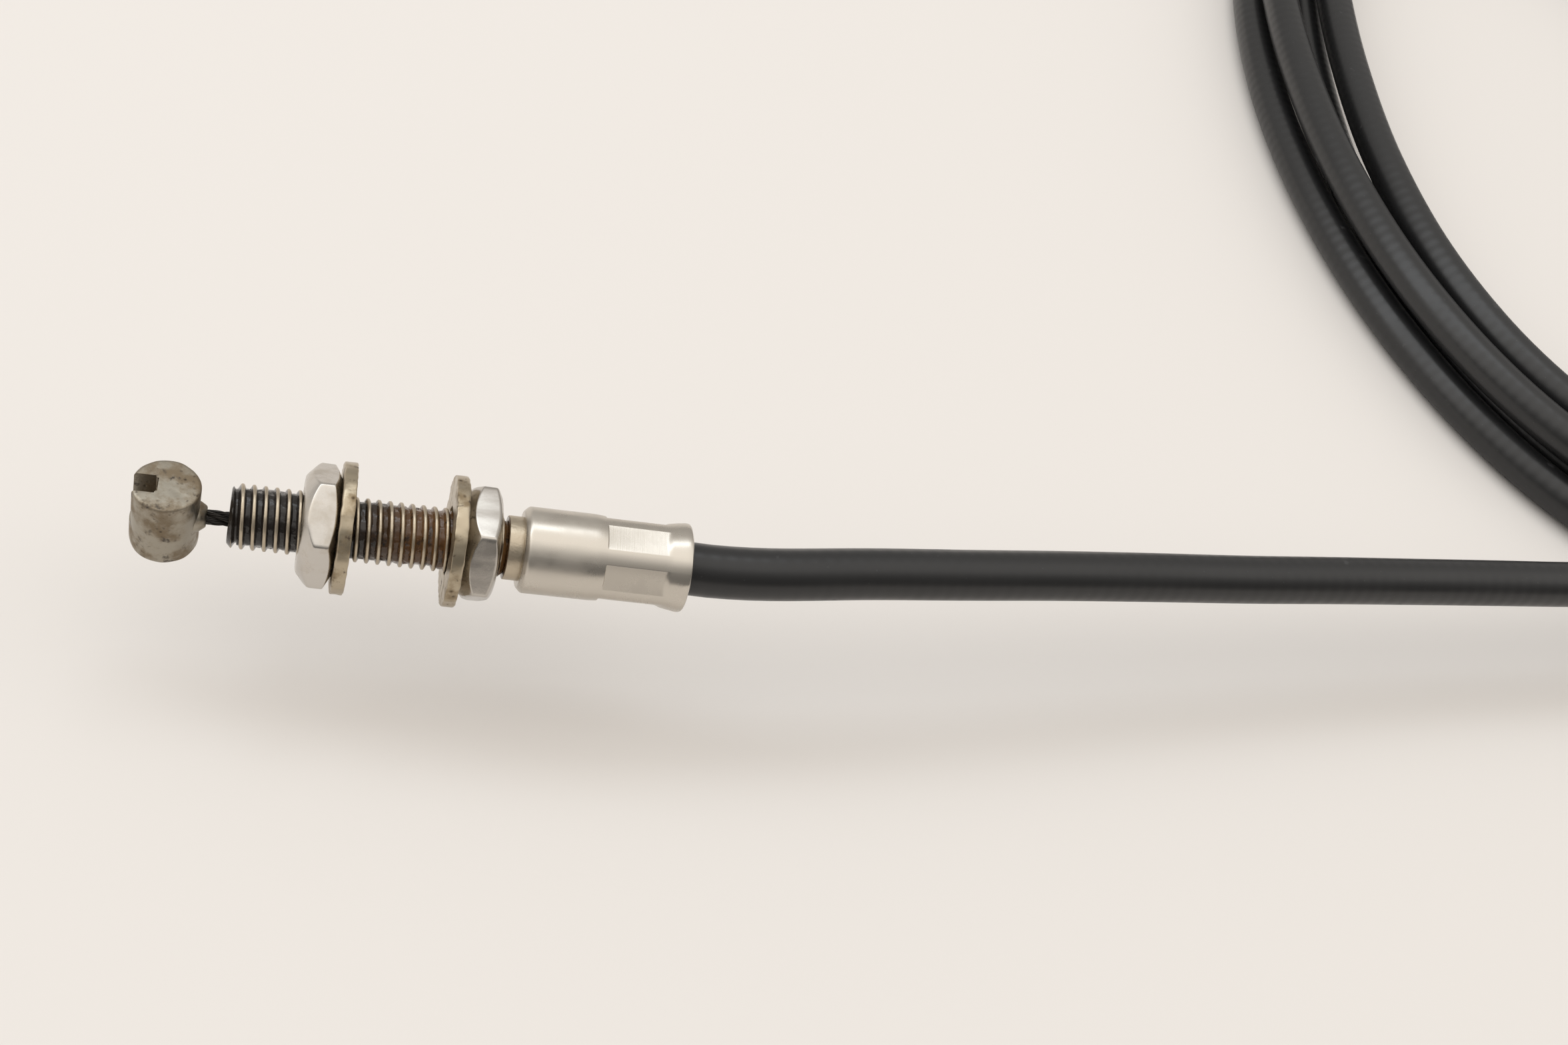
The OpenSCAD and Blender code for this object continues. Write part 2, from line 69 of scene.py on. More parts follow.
class Tree:
    """A node tree with short calls for adding and joining its nodes."""

    def __init__(self, tree: bpy.types.NodeTree) -> None:
        """Keeps the tree that the nodes go into."""
        self.tree = tree

    def add(self, kind: str, **settings: object) -> Node:
        """Adds a node.

        Args:
            kind: The node's type. A name without "Node" gets the usual "ShaderNode" before it.
            **settings: Properties of the node, such as operation.

        Returns:
            The new node.
        """
        node = self.tree.nodes.new(kind if "Node" in kind else "ShaderNode" + kind)
        for name, value in settings.items():
            setattr(node, name, value)
        return node

    def put(self, socket: Socket, value: object) -> None:
        """Links a socket to another one, or gives it a value.

        Args:
            socket: The input.
            value: An output, a colour of three numbers, or any other value.
        """
        if isinstance(value, bpy.types.NodeSocket):
            self.tree.links.new(value, socket)
        elif socket.type == "RGBA" and len(value) == 3:
            socket.default_value = (*value, 1.0)
        else:
            socket.default_value = value

    def feed(self, node: Node, **inputs: object) -> Node:
        """Fills a node's inputs by name.

        Args:
            node: The node.
            **inputs: Socket names, with _ for a space, and what goes into each.

        Returns:
            The same node.
        """
        for name, value in inputs.items():
            self.put(node.inputs[name.replace("_", " ")], value)
        return node

    def maths(self, operation: str, *values: float | Socket) -> Socket:
        """Adds a Math node.

        Args:
            operation: Blender's name of the operation.
            *values: What it works on.

        Returns:
            The result.
        """
        node = self.add("Math", operation=operation)
        for socket, value in zip(node.inputs, values):
            self.put(socket, value)
        return node.outputs[0]

    def vector(self, operation: str, *values: object) -> Socket:
        """Adds a Vector Math node.

        Args:
            operation: Blender's name of the operation.
            *values: What it works on. A number scales.

        Returns:
            The result.
        """
        node = self.add("VectorMath", operation=operation)
        for place, value in enumerate(values):
            name = "Scale" if operation == "SCALE" and place == 1 else place
            self.put(node.inputs[name], value)
        return node.outputs["Value" if operation in ("LENGTH", "DOT_PRODUCT") else "Vector"]

    def ramp(self, value: Socket, low: object, high: object, to: tuple[float, float] = (0, 1)) -> Socket:
        """Maps a value smoothly from one range to another.

        Args:
            value: What is mapped.
            low: What gives the start of the new range.
            high: What gives its end.
            to: The new range.

        Returns:
            The mapped value.
        """
        node = self.add("MapRange", interpolation_type="SMOOTHSTEP")
        self.feed(node, Value=value, From_Min=low, From_Max=high, To_Min=to[0], To_Max=to[1])
        return node.outputs["Result"]

    def noise(self, at: Socket, scale: object, detail: float = 4.0, rough: float = 0.55) -> Socket:
        """Adds a noise texture.

        Args:
            at: The coordinates that it is read at.
            scale: Its scale.
            detail: Its octaves.
            rough: How strong the finer octaves are.

        Returns:
            Its value, from 0 to 1.
        """
        node = self.add("TexNoise")
        return self.feed(node, Vector=at, Scale=scale, Detail=detail, Roughness=rough).outputs[0]


# ---------------------------------------------------------------- finishes


class Groups:
    """The shader groups that the finishes share, each built once."""

    made: dict[str, bpy.types.NodeTree] = {}

    @classmethod
    def start(cls, name: str, **inputs: float) -> tuple[Tree, bpy.types.NodeOutputs, Socket]:
        """Starts a group that reads a vector and some numbers and gives one mask.

        Args:
            name: The group's name.
            **inputs: The numbers' names and defaults.

        Returns:
            The tree, what it is given, and its mask.
        """
        group = bpy.data.node_groups.new(name, "ShaderNodeTree")
        group.interface.new_socket("Vector", in_out="INPUT", socket_type="NodeSocketVector")
        for label, value in inputs.items():
            socket = group.interface.new_socket(label, in_out="INPUT", socket_type="NodeSocketFloat")
            socket.default_value = value
        group.interface.new_socket("Mask", in_out="OUTPUT", socket_type="NodeSocketFloat")
        cls.made[name] = group
        given = group.nodes.new("NodeGroupInput").outputs
        return Tree(group), given, group.nodes.new("NodeGroupOutput").inputs["Mask"]

    @classmethod
    def patches(cls) -> bpy.types.NodeTree:
        """Uneven patches, as stains, tarnish and dirt lie.

        Returns:
            A group with the inputs Vector, Scale, Cover and Soft.
        """
        if "patches" not in cls.made:
            tree, given, mask = cls.start("patches", Scale=400.0, Cover=0.5, Soft=0.1)
            pattern = tree.noise(given["Vector"], given["Scale"], 7.0, 0.62)
            edge = tree.maths("SUBTRACT", 1.0, given["Cover"])
            low = tree.maths("SUBTRACT", edge, given["Soft"])
            high = tree.maths("ADD", edge, given["Soft"])
            tree.put(mask, tree.ramp(pattern, low, high))
        return cls.made["patches"]

    @classmethod
    def pits(cls) -> bpy.types.NodeTree:
        """Small round pits, as in castings, rust and knocked edges.

        Returns:
            A group with the inputs Vector, Scale and Size.
        """
        if "pits" not in cls.made:
            tree, given, mask = cls.start("pits", Scale=1500.0, Size=0.25)
            cells = tree.feed(tree.add("TexVoronoi"), Vector=given["Vector"], Scale=given["Scale"])
            tree.put(mask, tree.ramp(cells.outputs["Distance"], given["Size"], 0.0))
        return cls.made["pits"]

    @classmethod
    def off_axis(cls) -> bpy.types.NodeTree:
        """How far out from the screw's axis a point is, from 0 at one radius to 1 at another.

        Returns:
            A group with the inputs Vector, Inner and Outer.
        """
        if "off the axis" not in cls.made:
            tree, given, mask = cls.start("off the axis", Inner=0.002, Outer=0.003)
            radius = tree.vector("LENGTH", tree.vector("MULTIPLY", given["Vector"], (0.0, 1.0, 1.0)))
            tree.put(mask, tree.ramp(radius, given["Inner"], given["Outer"]))
        return cls.made["off the axis"]


class Surface(Tree):
    """A material's tree, with its shader, its coordinates and the shared groups."""

    def __init__(self, name: str) -> None:
        """Makes a material with a shader and nothing before it.

        Args:
            name: The material's name.
        """
        self.material = bpy.data.materials.new(name)
        self.material.use_nodes = True
        super().__init__(self.material.node_tree)
        self.tree.nodes.clear()
        self.shader = self.add("BsdfPrincipled")
        self.put(self.add("OutputMaterial").inputs["Surface"], self.shader.outputs["BSDF"])
        self.place = self.add("TexCoord").outputs["Object"]

    def stretched(self, scale: Colour) -> Socket:
        """Gives object coordinates scaled along each axis."""
        return self.feed(self.add("Mapping"), Vector=self.place, Scale=scale).outputs["Vector"]

    def mask(self, tree: bpy.types.NodeTree, **inputs: object) -> Socket:
        """Places a shared group.

        Args:
            tree: The group.
            **inputs: Its inputs. Without Vector it reads object coordinates.

        Returns:
            Its mask.
        """
        node = self.add("Group")
        node.node_tree = tree
        inputs.setdefault("Vector", self.place)
        return self.feed(node, **inputs).outputs["Mask"]

    def mix(self, share: object, a: object, b: object) -> Socket:
        """Mixes two colours.

        Args:
            share: How much of the second one shows.
            a: The first colour.
            b: The second colour.

        Returns:
            The mixed colour.
        """
        node = self.add("Mix", data_type="RGBA")
        for place, value in zip((0, 6, 7), (share, a, b)):
            self.put(node.inputs[place], value)
        return node.outputs[2]

    def grease(
        self, moved: Socket, clots: Socket, black: Colour, amber: Colour, turns: tuple[float, float]
    ) -> Socket:
        """Colours grease that is black at one end, amber at the other, and black again in its clots.

        Args:
            moved: How far the change of colour is moved along X at each point, in metres.
            clots: Where the clots are.
            black: Its colour where it is thick and dirty.
            amber: Its colour where it is thin.
            turns: Where along X it begins to turn amber, and where it has turned.

        Returns:
            Its colour.
        """
        warm = self.ramp(moved, *turns)
        return self.mix(clots, self.mix(warm, black, amber), black)

    def relief(self, height: Socket, depth: float, under: Socket | None = None) -> Socket:
        """Adds relief.

        Args:
            height: The height, from 0 to 1.
            depth: How high 1 is, in metres.
            under: A normal that this relief lies on.

        Returns:
            The new normal.
        """
        node = self.feed(self.add("Bump"), Height=height, Distance=depth)
        if under is not None:
            self.put(node.inputs["Normal"], under)
        return node.outputs["Normal"]

    def dress(self, colour: object, rough: object, metal: object, normal: Socket) -> bpy.types.Material:
        """Feeds the shader.

        Args:
            colour: The base colour.
            rough: The roughness.
            metal: The metallic share.
            normal: The normal.

        Returns:
            The material.
        """
        self.feed(self.shader, Base_Color=colour, Roughness=rough, Metallic=metal, Normal=normal)
        return self.material


@dataclass(frozen=True)
class WornMetal:
    """Metal with stains, dirt, a grain and pits, each with its own scale."""

    name: str
    clean: Colour
    stain: Colour
    dirt: Colour
    rough: tuple[float, float] = (0.3, 0.6)
    stain_scale: float = 350.0
    stain_cover: float = 0.45
    dirt_scale: float = 700.0
    dirt_cover: float = 0.35
    grain_along: Colour = (1.0, 1.0, 1.0)
    grain_scale: float = 2500.0
    grain_depth: float = 8e-6
    pit_scale: float = 1200.0
    pit_size: float = 0.3
    pit_depth: float = 0.0

    def build(self) -> bpy.types.Material:
        """Builds the material.

        Returns:
            The material.
        """
        look = Surface(self.name)
        stain = look.mask(Groups.patches(), Scale=self.stain_scale, Cover=self.stain_cover, Soft=0.13)
        dirt = look.mask(Groups.patches(), Scale=self.dirt_scale, Cover=self.dirt_cover, Soft=0.06)
        grain = look.noise(look.stretched(self.grain_along), self.grain_scale, 3.0)
        pits = look.mask(Groups.pits(), Scale=self.pit_scale, Size=self.pit_size)
        worn = look.maths("MULTIPLY", pits, stain)
        colour = look.mix(dirt, look.mix(stain, self.clean, self.stain), self.dirt)
        if self.pit_depth:
            colour = look.mix(worn, colour, self.dirt)
        uneven = look.maths("MULTIPLY_ADD", grain, 0.35, look.maths("MAXIMUM", stain, dirt))
        rough = look.ramp(uneven, 0.05, 1.2, self.rough)
        normal = look.relief(grain, self.grain_depth)
        if self.pit_depth:
            normal = look.relief(look.maths("SUBTRACT", 1.0, worn), self.pit_depth, normal)
        return look.dress(colour, rough, look.ramp(dirt, 0.0, 1.0, (1.0, 0.35)), normal)


@dataclass(frozen=True)
class GreasyThread:
    """A screw with bright crests and old grease between them, black at one end and amber at the other."""

    name: str
    crest: Colour
    black: Colour
    amber: Colour
    bare_from: float
    bare_to: float
    turns_amber: tuple[float, float]

    def build(self) -> bpy.types.Material:
        """Builds the material.

        Returns:
            The material.
        """
        look = Surface(self.name)
        out = look.mask(Groups.off_axis(), Inner=self.bare_from, Outer=self.bare_to)
        smear = look.noise(look.place, 450.0, 6.0)
        bare = look.ramp(look.maths("SUBTRACT", out, look.maths("MULTIPLY", smear, 0.75)), 0.12, 0.5)
        along = look.feed(look.add("SeparateXYZ"), Vector=look.place).outputs["X"]
        moved = look.maths("MULTIPLY_ADD", smear, 0.005, along)
        clots = look.mask(Groups.patches(), Scale=900.0, Cover=0.4, Soft=0.07)
        grease = look.grease(moved, clots, self.black, self.amber, self.turns_amber)
        colour = look.mix(bare, grease, self.crest)
        wet = look.noise(look.place, 1500.0, 4.0)
        rough = look.ramp(bare, 0.0, 1.0, (0.14, 0.36))
        return look.dress(colour, rough, bare, look.relief(wet, 6e-5))


@dataclass(frozen=True)
class OldGrease:
    """Thick clear grease over a dark ground: black where it is thick and dirty, amber where it is thin."""

    name: str
    black: Colour
    amber: Colour
    turns_amber: tuple[float, float]

    def build(self) -> bpy.types.Material:
        """Builds the material.

        Returns:
            The material.
        """
        look = Surface(self.name)
        smear = look.noise(look.place, 380.0, 5.0)
        along = look.feed(look.add("SeparateXYZ"), Vector=look.place).outputs["X"]
        moved = look.maths("MULTIPLY_ADD", smear, 0.006, along)
        clots = look.mask(Groups.patches(), Scale=700.0, Cover=0.42, Soft=0.08)
        colour = look.grease(moved, clots, self.black, self.amber, self.turns_amber)
        wet = look.noise(look.place, 1200.0, 3.0)
        rough = look.ramp(clots, 0.0, 1.0, (0.1, 0.25))
        return look.dress(colour, rough, 0.0, look.relief(wet, 1e-4))


@dataclass(frozen=True)
class ExtrudedJacket:
    """A black plastic jacket over a wound conduit, whose turns show through as faint ribs."""

    name: str
    colour: Colour
    scuff: Colour
    rib_pitch: float = 0.0016
    rib_depth: float = 2.2e-5

    def build(self) -> bpy.types.Material:
        """Builds the material.

        Returns:
            The material.
        """
        look = Surface(self.name)
        along = look.add("Attribute", attribute_name="along").outputs["Fac"]
        wave = look.maths("SINE", look.maths("MULTIPLY", along, 2 * math.pi / self.rib_pitch))
        drift = look.noise(look.place, 70.0, 3.0)
        rise = look.maths("MULTIPLY_ADD", wave, 0.5, 0.5)
        ribs = look.maths("MULTIPLY", rise, look.ramp(drift, 0.3, 0.7, (0.3, 1)))
        scuffs = look.mask(Groups.patches(), Scale=240.0, Cover=0.33, Soft=0.02)
        specks = look.mask(Groups.pits(), Scale=900.0, Size=0.1)
        rubbed = look.maths("MULTIPLY", scuffs, 0.3)
        worn = look.maths("MAXIMUM", rubbed, look.maths("MULTIPLY", specks, 0.35))
        fine = look.noise(look.place, 2600.0, 3.0)
        rough = look.ramp(look.maths("MULTIPLY_ADD", scuffs, 0.4, drift), 0.3, 1.1, (0.3, 0.5))
        normal = look.relief(fine, 5e-6, look.relief(ribs, self.rib_depth))
        return look.dress(look.mix(worn, self.colour, self.scuff), rough, 0.0, normal)


@dataclass(frozen=True)
class PlainPlastic:
    """Moulded plastic with a faint flow in its colour and a fine tooth."""

    name: str
    colour: Colour
    shade: Colour
    rough: float = 0.45
    scale: float = 250.0

    def build(self) -> bpy.types.Material:
        """Builds the material.

        Returns:
            The material.
        """
        look = Surface(self.name)
        flow = look.mask(Groups.patches(), Scale=self.scale, Cover=0.5, Soft=0.3)
        tooth = look.noise(look.place, 3000.0, 3.0)
        rough = look.ramp(flow, 0.0, 1.0, (self.rough, self.rough + 0.12))
        return look.dress(look.mix(flow, self.colour, self.shade), rough, 0.0, look.relief(tooth, 4e-6))


class Finish(Enum):
    """Every finish on the cable."""

    CAST_ZINC = WornMetal(
        "cast zinc", clean=(0.34, 0.31, 0.255), stain=(0.24, 0.19, 0.13), dirt=(0.07, 0.055, 0.042),
        rough=(0.34, 0.62), stain_scale=420.0, stain_cover=0.47, dirt_scale=800.0, dirt_cover=0.36,
        grain_scale=1800.0, grain_depth=1.4e-5, pit_scale=1500.0, pit_size=0.32, pit_depth=4e-5,
    )  # fmt: skip
    GREASED_WIRE = WornMetal(
        "greased wire", clean=(0.16, 0.15, 0.14), stain=(0.05, 0.045, 0.04), dirt=(0.02, 0.017, 0.014),
        rough=(0.22, 0.5), stain_scale=600.0, stain_cover=0.6, dirt_scale=1500.0, dirt_cover=0.5,
    )  # fmt: skip
    THREAD = GreasyThread(
        "greasy thread", crest=(0.50, 0.43, 0.33), black=(0.018, 0.014, 0.011), amber=(0.13, 0.065, 0.024),
        bare_from=0.00272, bare_to=0.00292, turns_amber=(-0.002, 0.004),
    )  # fmt: skip
    GREASE = OldGrease(
        "old grease", black=(0.012, 0.009, 0.007), amber=(0.11, 0.05, 0.016), turns_amber=(-0.002, 0.005)
    )
    SATIN_NUT = WornMetal(
        "satin nut", clean=(0.58, 0.55, 0.51), stain=(0.52, 0.47, 0.40), dirt=(0.10, 0.075, 0.05),
        rough=(0.24, 0.42), stain_scale=260.0, stain_cover=0.42, dirt_scale=900.0, dirt_cover=0.27,
        grain_scale=1500.0, grain_depth=6e-6,
    )  # fmt: skip
    BRIGHT_NUT = WornMetal(
        "bright nut", clean=(0.50, 0.47, 0.43), stain=(0.46, 0.43, 0.39), dirt=(0.16, 0.14, 0.12),
        rough=(0.2, 0.36), stain_scale=260.0, stain_cover=0.4, dirt_scale=900.0, dirt_cover=0.25,
        grain_scale=1500.0, grain_depth=5e-6,
    )  # fmt: skip
    DULL_WASHER = WornMetal(
        "dull washer", clean=(0.45, 0.385, 0.285), stain=(0.28, 0.215, 0.135), dirt=(0.06, 0.04, 0.025),
        rough=(0.28, 0.55), stain_scale=450.0, stain_cover=0.42, dirt_scale=1000.0, dirt_cover=0.36,
        grain_scale=2200.0, grain_depth=8e-6, pit_scale=1300.0, pit_size=0.35, pit_depth=3e-5,
    )  # fmt: skip
    SATIN_NICKEL = WornMetal(
        "satin nickel", clean=(0.58, 0.54, 0.48), stain=(0.60, 0.56, 0.50), dirt=(0.24, 0.19, 0.13),
        rough=(0.26, 0.38), stain_scale=200.0, stain_cover=0.42, dirt_scale=500.0, dirt_cover=0.24,
        grain_along=(1.0, 0.04, 0.04), grain_scale=9000.0, grain_depth=4e-6,
    )  # fmt: skip
    JACKET = ExtrudedJacket("black jacket", colour=(0.014, 0.014, 0.0145), scuff=(0.09, 0.09, 0.092))
    CONDUIT = WornMetal(
        "conduit steel", clean=(0.42, 0.42, 0.43), stain=(0.3, 0.28, 0.26), dirt=(0.1, 0.08, 0.07)
    )
    LINER = PlainPlastic("white liner", colour=(0.8, 0.8, 0.78), shade=(0.7, 0.7, 0.67), rough=0.35)
    TIE = PlainPlastic("natural nylon", colour=(0.74, 0.71, 0.62), shade=(0.66, 0.62, 0.52), rough=0.38)

    def material(self) -> bpy.types.Material:
        """Gives the finish's material, built at its first use."""
        found = bpy.data.materials.get(self.value.name)
        return found if found is not None else self.value.build()


# ---------------------------------------------------------------- shaped by nodes


def bake(piece: bpy.types.Object, modifier: bpy.types.Modifier) -> bpy.types.Object:
    """Makes a modifier's result the piece's plain mesh, and removes the modifier.

    Args:
        piece: The piece.
        modifier: Its only modifier.

    Returns:
        The same piece.
    """
    evaluated = piece.evaluated_get(bpy.context.evaluated_depsgraph_get())
    mesh = bpy.data.meshes.new_from_object(evaluated)
    piece.modifiers.remove(modifier)
    piece.data = mesh
    return piece


class Shaper(Tree):
    """A Geometry Nodes tree that turns a starting mesh into a finished one."""

    def __init__(self, name: str, **sizes: float | int) -> None:
        """Makes the tree with its named inputs.

        Args:
            name: The tree's name.
            **sizes: The inputs' names, with _ for a space, and defaults.
        """
        super().__init__(bpy.data.node_groups.new(name, "GeometryNodeTree"))
        sides = self.tree.interface
        sides.new_socket("Geometry", in_out="INPUT", socket_type="NodeSocketGeometry")
        for label, value in sizes.items():
            kind = "NodeSocketInt" if isinstance(value, int) else "NodeSocketFloat"
            sides.new_socket(label.replace("_", " "), in_out="INPUT", socket_type=kind).default_value = value
        sides.new_socket("Geometry", in_out="OUTPUT", socket_type="NodeSocketGeometry")
        self.given = self.tree.nodes.new("NodeGroupInput").outputs

    def line(self) -> Socket:
        """Turns the starting mesh's edges into a curve."""
        return self.feed(self.add("GeometryNodeMeshToCurve"), Mesh=self.given["Geometry"]).outputs[0]

    def tubed(self, line: Socket, radius: Socket, sides: int | Socket) -> Socket:
        """Gives lines a round section.

        Args:
            line: The lines.
            radius: The section's radius.
            sides: How many sides it has.

        Returns:
            The mesh.
        """
        ring = self.feed(self.add("GeometryNodeCurvePrimitiveCircle"), Resolution=sides, Radius=radius)
        skin = self.add("GeometryNodeCurveToMesh")
        return self.feed(skin, Curve=line, Profile_Curve=ring.outputs[0], Fill_Caps=True).outputs[0]

    def end(self, geometry: Socket, finish: Finish) -> None:
        """Closes the tree with its instances made real and its material set.

        Args:
            geometry: What the tree has made.
            finish: Its finish.
        """
        real = self.feed(self.add("GeometryNodeRealizeInstances"), Geometry=geometry).outputs[0]
        dressed = self.feed(self.add("GeometryNodeSetMaterial"), Geometry=real, Material=finish.material())
        self.put(self.tree.nodes.new("NodeGroupOutput").inputs["Geometry"], dressed.outputs[0])

    def run(self, start: bpy.types.Object, **sizes: float | int) -> bpy.types.Object:
        """Shapes a mesh and leaves it plain.

        Args:
            start: The object to shape.
            **sizes: Values for the inputs that differ from their defaults.

        Returns:
            The same object with its new mesh.
        """
        modifier = start.modifiers.new("shape", "NODES")
        modifier.node_group = self.tree
        inputs = (item for item in self.tree.interface.items_tree if item.in_out == "INPUT")
        keys = {item.name: item.identifier for item in inputs}
        for label, value in sizes.items():
            modifier[keys[label.replace("_", " ")]] = value
        return bake(start, modifier)


class PathTube(Shaper):
    """A round tube along a line of edges, which keeps how far along it each point is."""

    def __init__(self, finish: Finish) -> None:
        """Builds the tree.

        Args:
            finish: The tube's finish.
        """
        super().__init__("tube along a path", Radius=0.0025, Sides=24)
        upright = self.feed(self.add("GeometryNodeSetCurveNormal", mode="Z_UP"), Curve=self.line())
        so_far = self.add("GeometryNodeSplineParameter").outputs["Length"]
        noted = self.add("GeometryNodeStoreNamedAttribute", data_type="FLOAT", domain="POINT")
        self.feed(noted, Geometry=upright.outputs[0], Name="along", Value=so_far)
        self.end(self.tubed(noted.outputs[0], self.given["Radius"], self.given["Sides"]), finish)


class WireRope(Shaper):
    """A rope of strands round a core, each strand a ring of wires, along a line of edges."""

    def __init__(self, finish: Finish) -> None:
        """Builds the tree.

        Args:
            finish: The wires' finish.
        """
        super().__init__(
            "wire rope", Radius=0.0007, Strands=6, Wires=6, Lay=0.011, Wire_Lay=0.006, Step=0.0003
        )
        fine = self.add("GeometryNodeResampleCurve", mode="LENGTH")
        self.feed(fine, Curve=self.line(), Length=self.given["Step"])
        third = self.maths("DIVIDE", self.given["Radius"], 3.0)
        strand = self.maths("MULTIPLY", third, 2.0)
        wire = self.maths("DIVIDE", third, 3.0)
        strands = self.laid(fine.outputs[0], self.given["Strands"], strand, self.given["Lay"])
        off = self.maths("MULTIPLY", wire, 2.0)
        left_hand = self.maths("MULTIPLY", self.given["Wire Lay"], -1.0)
        wires = self.laid(strands, self.given["Wires"], off, left_hand)
        core = self.tubed(fine.outputs[0], strand, 8)
        both = self.add("GeometryNodeJoinGeometry")
        for part in (self.tubed(wires, wire, 5), core):
            self.tree.links.new(part, both.inputs[0])
        self.end(both.outputs[0], finish)

    def laid(self, line: Socket, count: Socket, off: Socket, lay: Socket) -> Socket:
        """Winds copies of each line round it.

        Args:
            line: The lines.
            count: How many copies go round each.
            off: How far they stand off it.
            lay: The length of one turn, negative for a left-hand lay.

        Returns:
            The wound lines.
        """
        copies = self.add("GeometryNodeDuplicateElements", domain="SPLINE")
        self.feed(copies, Geometry=line, Amount=count)
        turns = self.maths("DIVIDE", self.add("GeometryNodeSplineParameter").outputs["Length"], lay)
        share = self.maths("DIVIDE", copies.outputs["Duplicate Index"], count)
        angle = self.maths("MULTIPLY", self.maths("ADD", turns, share), 2 * math.pi)
        normal = self.add("GeometryNodeInputNormal").outputs[0]
        tangent = self.add("GeometryNodeInputTangent").outputs[0]
        across = self.vector("CROSS_PRODUCT", tangent, normal)
        way = self.vector(
            "ADD",
            self.vector("SCALE", normal, self.maths("COSINE", angle)),
            self.vector("SCALE", across, self.maths("SINE", angle)),
        )
        moved = self.add("GeometryNodeSetPosition")
        self.feed(moved, Geometry=copies.outputs[0], Offset=self.vector("SCALE", way, off))
        return moved.outputs[0]


class ThreadCutter(Shaper):
    """Cuts a right-hand thread into a turned blank that lies along X."""

    def __init__(self, finish: Finish) -> None:
        """Builds the tree.

        Args:
            finish: The screw's finish.
        """
        super().__init__("thread cutter", Start=0.0, Stop=0.02, Pitch=0.001, Root=0.0024, Crest=0.0029)
        start, stop, pitch = (self.given[name] for name in ("Start", "Stop", "Pitch"))
        root, crest = self.given["Root"], self.given["Crest"]
        position = self.add("GeometryNodeInputPosition").outputs[0]
        x, y, z = self.feed(self.add("SeparateXYZ"), Vector=position).outputs
        squares = self.maths("MULTIPLY_ADD", y, y, self.maths("MULTIPLY", z, z))
        radius = self.maths("POWER", squares, 0.5)
        turned = self.maths("DIVIDE", self.maths("ARCTAN2", z, y), 2 * math.pi)
        pitches = self.maths("DIVIDE", self.maths("SUBTRACT", x, start), pitch)
        phase = self.maths("FRACT", self.maths("SUBTRACT", pitches, self.maths("ADD", turned, 0.25)))
        off_crest = self.maths("ABSOLUTE", self.maths("SUBTRACT", phase, 0.5))
        crest_half, root_from = 0.06, 0.44
        flank = self.ramp(off_crest, crest_half, root_from, (1.0, 0.0))
        depth = self.maths("SUBTRACT", crest, root)
        cut = self.maths("MINIMUM", radius, self.maths("MULTIPLY_ADD", flank, depth, root))
        scale = self.maths("DIVIDE", cut, self.maths("MAXIMUM", radius, 1e-5))
        flat = {"Y": self.maths("MULTIPLY", y, scale), "Z": self.maths("MULTIPLY", z, scale)}
        place = self.feed(self.add("CombineXYZ"), X=x, **flat)
        past_start = self.maths("GREATER_THAN", x, start)
        inside = self.maths("MULTIPLY", past_start, self.maths("LESS_THAN", x, stop))
        threaded = self.maths("MULTIPLY", inside, self.maths("GREATER_THAN", radius, root))
        moved = self.add("GeometryNodeSetPosition")
        self.feed(moved, Geometry=self.given["Geometry"], Selection=threaded, Position=place.outputs[0])
        self.end(moved.outputs[0], finish)


class Crumbs(Shaper):
    """Small lumps of dirt scattered over a surface."""

    def __init__(self, finish: Finish) -> None:
        """Builds the tree.

        Args:
            finish: The lumps' finish.
        """
        super().__init__("crumbs", Density=1e6, Size=0.0001, Least=0.4, Most=1.3, Flatness=0.6, Seed=3)
        spots = self.add("GeometryNodeDistributePointsOnFaces", distribute_method="RANDOM")
        clumps = self.noise(self.add("GeometryNodeInputPosition").outputs[0], 350.0, 3.0)
        thick = self.maths("MULTIPLY", self.given["Density"], self.ramp(clumps, 0.5, 0.62))
        self.feed(spots, Mesh=self.given["Geometry"], Density=thick, Seed=self.given["Seed"])
        size = self.add("FunctionNodeRandomValue", data_type="FLOAT")
        self.put(size.inputs[2], self.given["Least"])
        self.put(size.inputs[3], self.given["Most"])
        self.put(size.inputs["Seed"], self.given["Seed"])
        ball = self.feed(self.add("GeometryNodeMeshIcoSphere"), Radius=self.given["Size"], Subdivisions=2)
        laid = self.add("GeometryNodeInstanceOnPoints")
        self.feed(laid, Points=spots.outputs["Points"], Rotation=spots.outputs["Rotation"])
        self.put(laid.inputs["Instance"], ball.outputs[0])
        flat = self.feed(self.add("CombineXYZ"), X=size.outputs[1], Y=size.outputs[1])
        self.put(flat.inputs["Z"], self.maths("MULTIPLY", size.outputs[1], self.given["Flatness"]))
        self.put(laid.inputs["Scale"], flat.outputs[0])
        self.end(laid.outputs[0], finish)


# ---------------------------------------------------------------- shaped by hand


def new_piece(
    name: str, mesh: bmesh.types.BMesh, finish: Finish | None, sharp: float = SHARP
) -> bpy.types.Object:
    """Makes an object from a finished mesh, shaded smooth up to an angle.

    Args:
        name: The piece's name.
        mesh: The mesh, which is freed.
        finish: Its finish, if it already has one.
        sharp: The angle in degrees past which an edge stays sharp.

    Returns:
        The object, linked to the scene.
    """
    data = bpy.data.meshes.new(name)
    mesh.to_mesh(data)
    mesh.free()
    data.shade_smooth()
    data.set_sharp_from_angle(angle=math.radians(sharp))
    if finish is not None:
        data.materials.append(finish.material())
    piece = bpy.data.objects.new(name, data)
    bpy.context.scene.collection.objects.link(piece)
    return piece


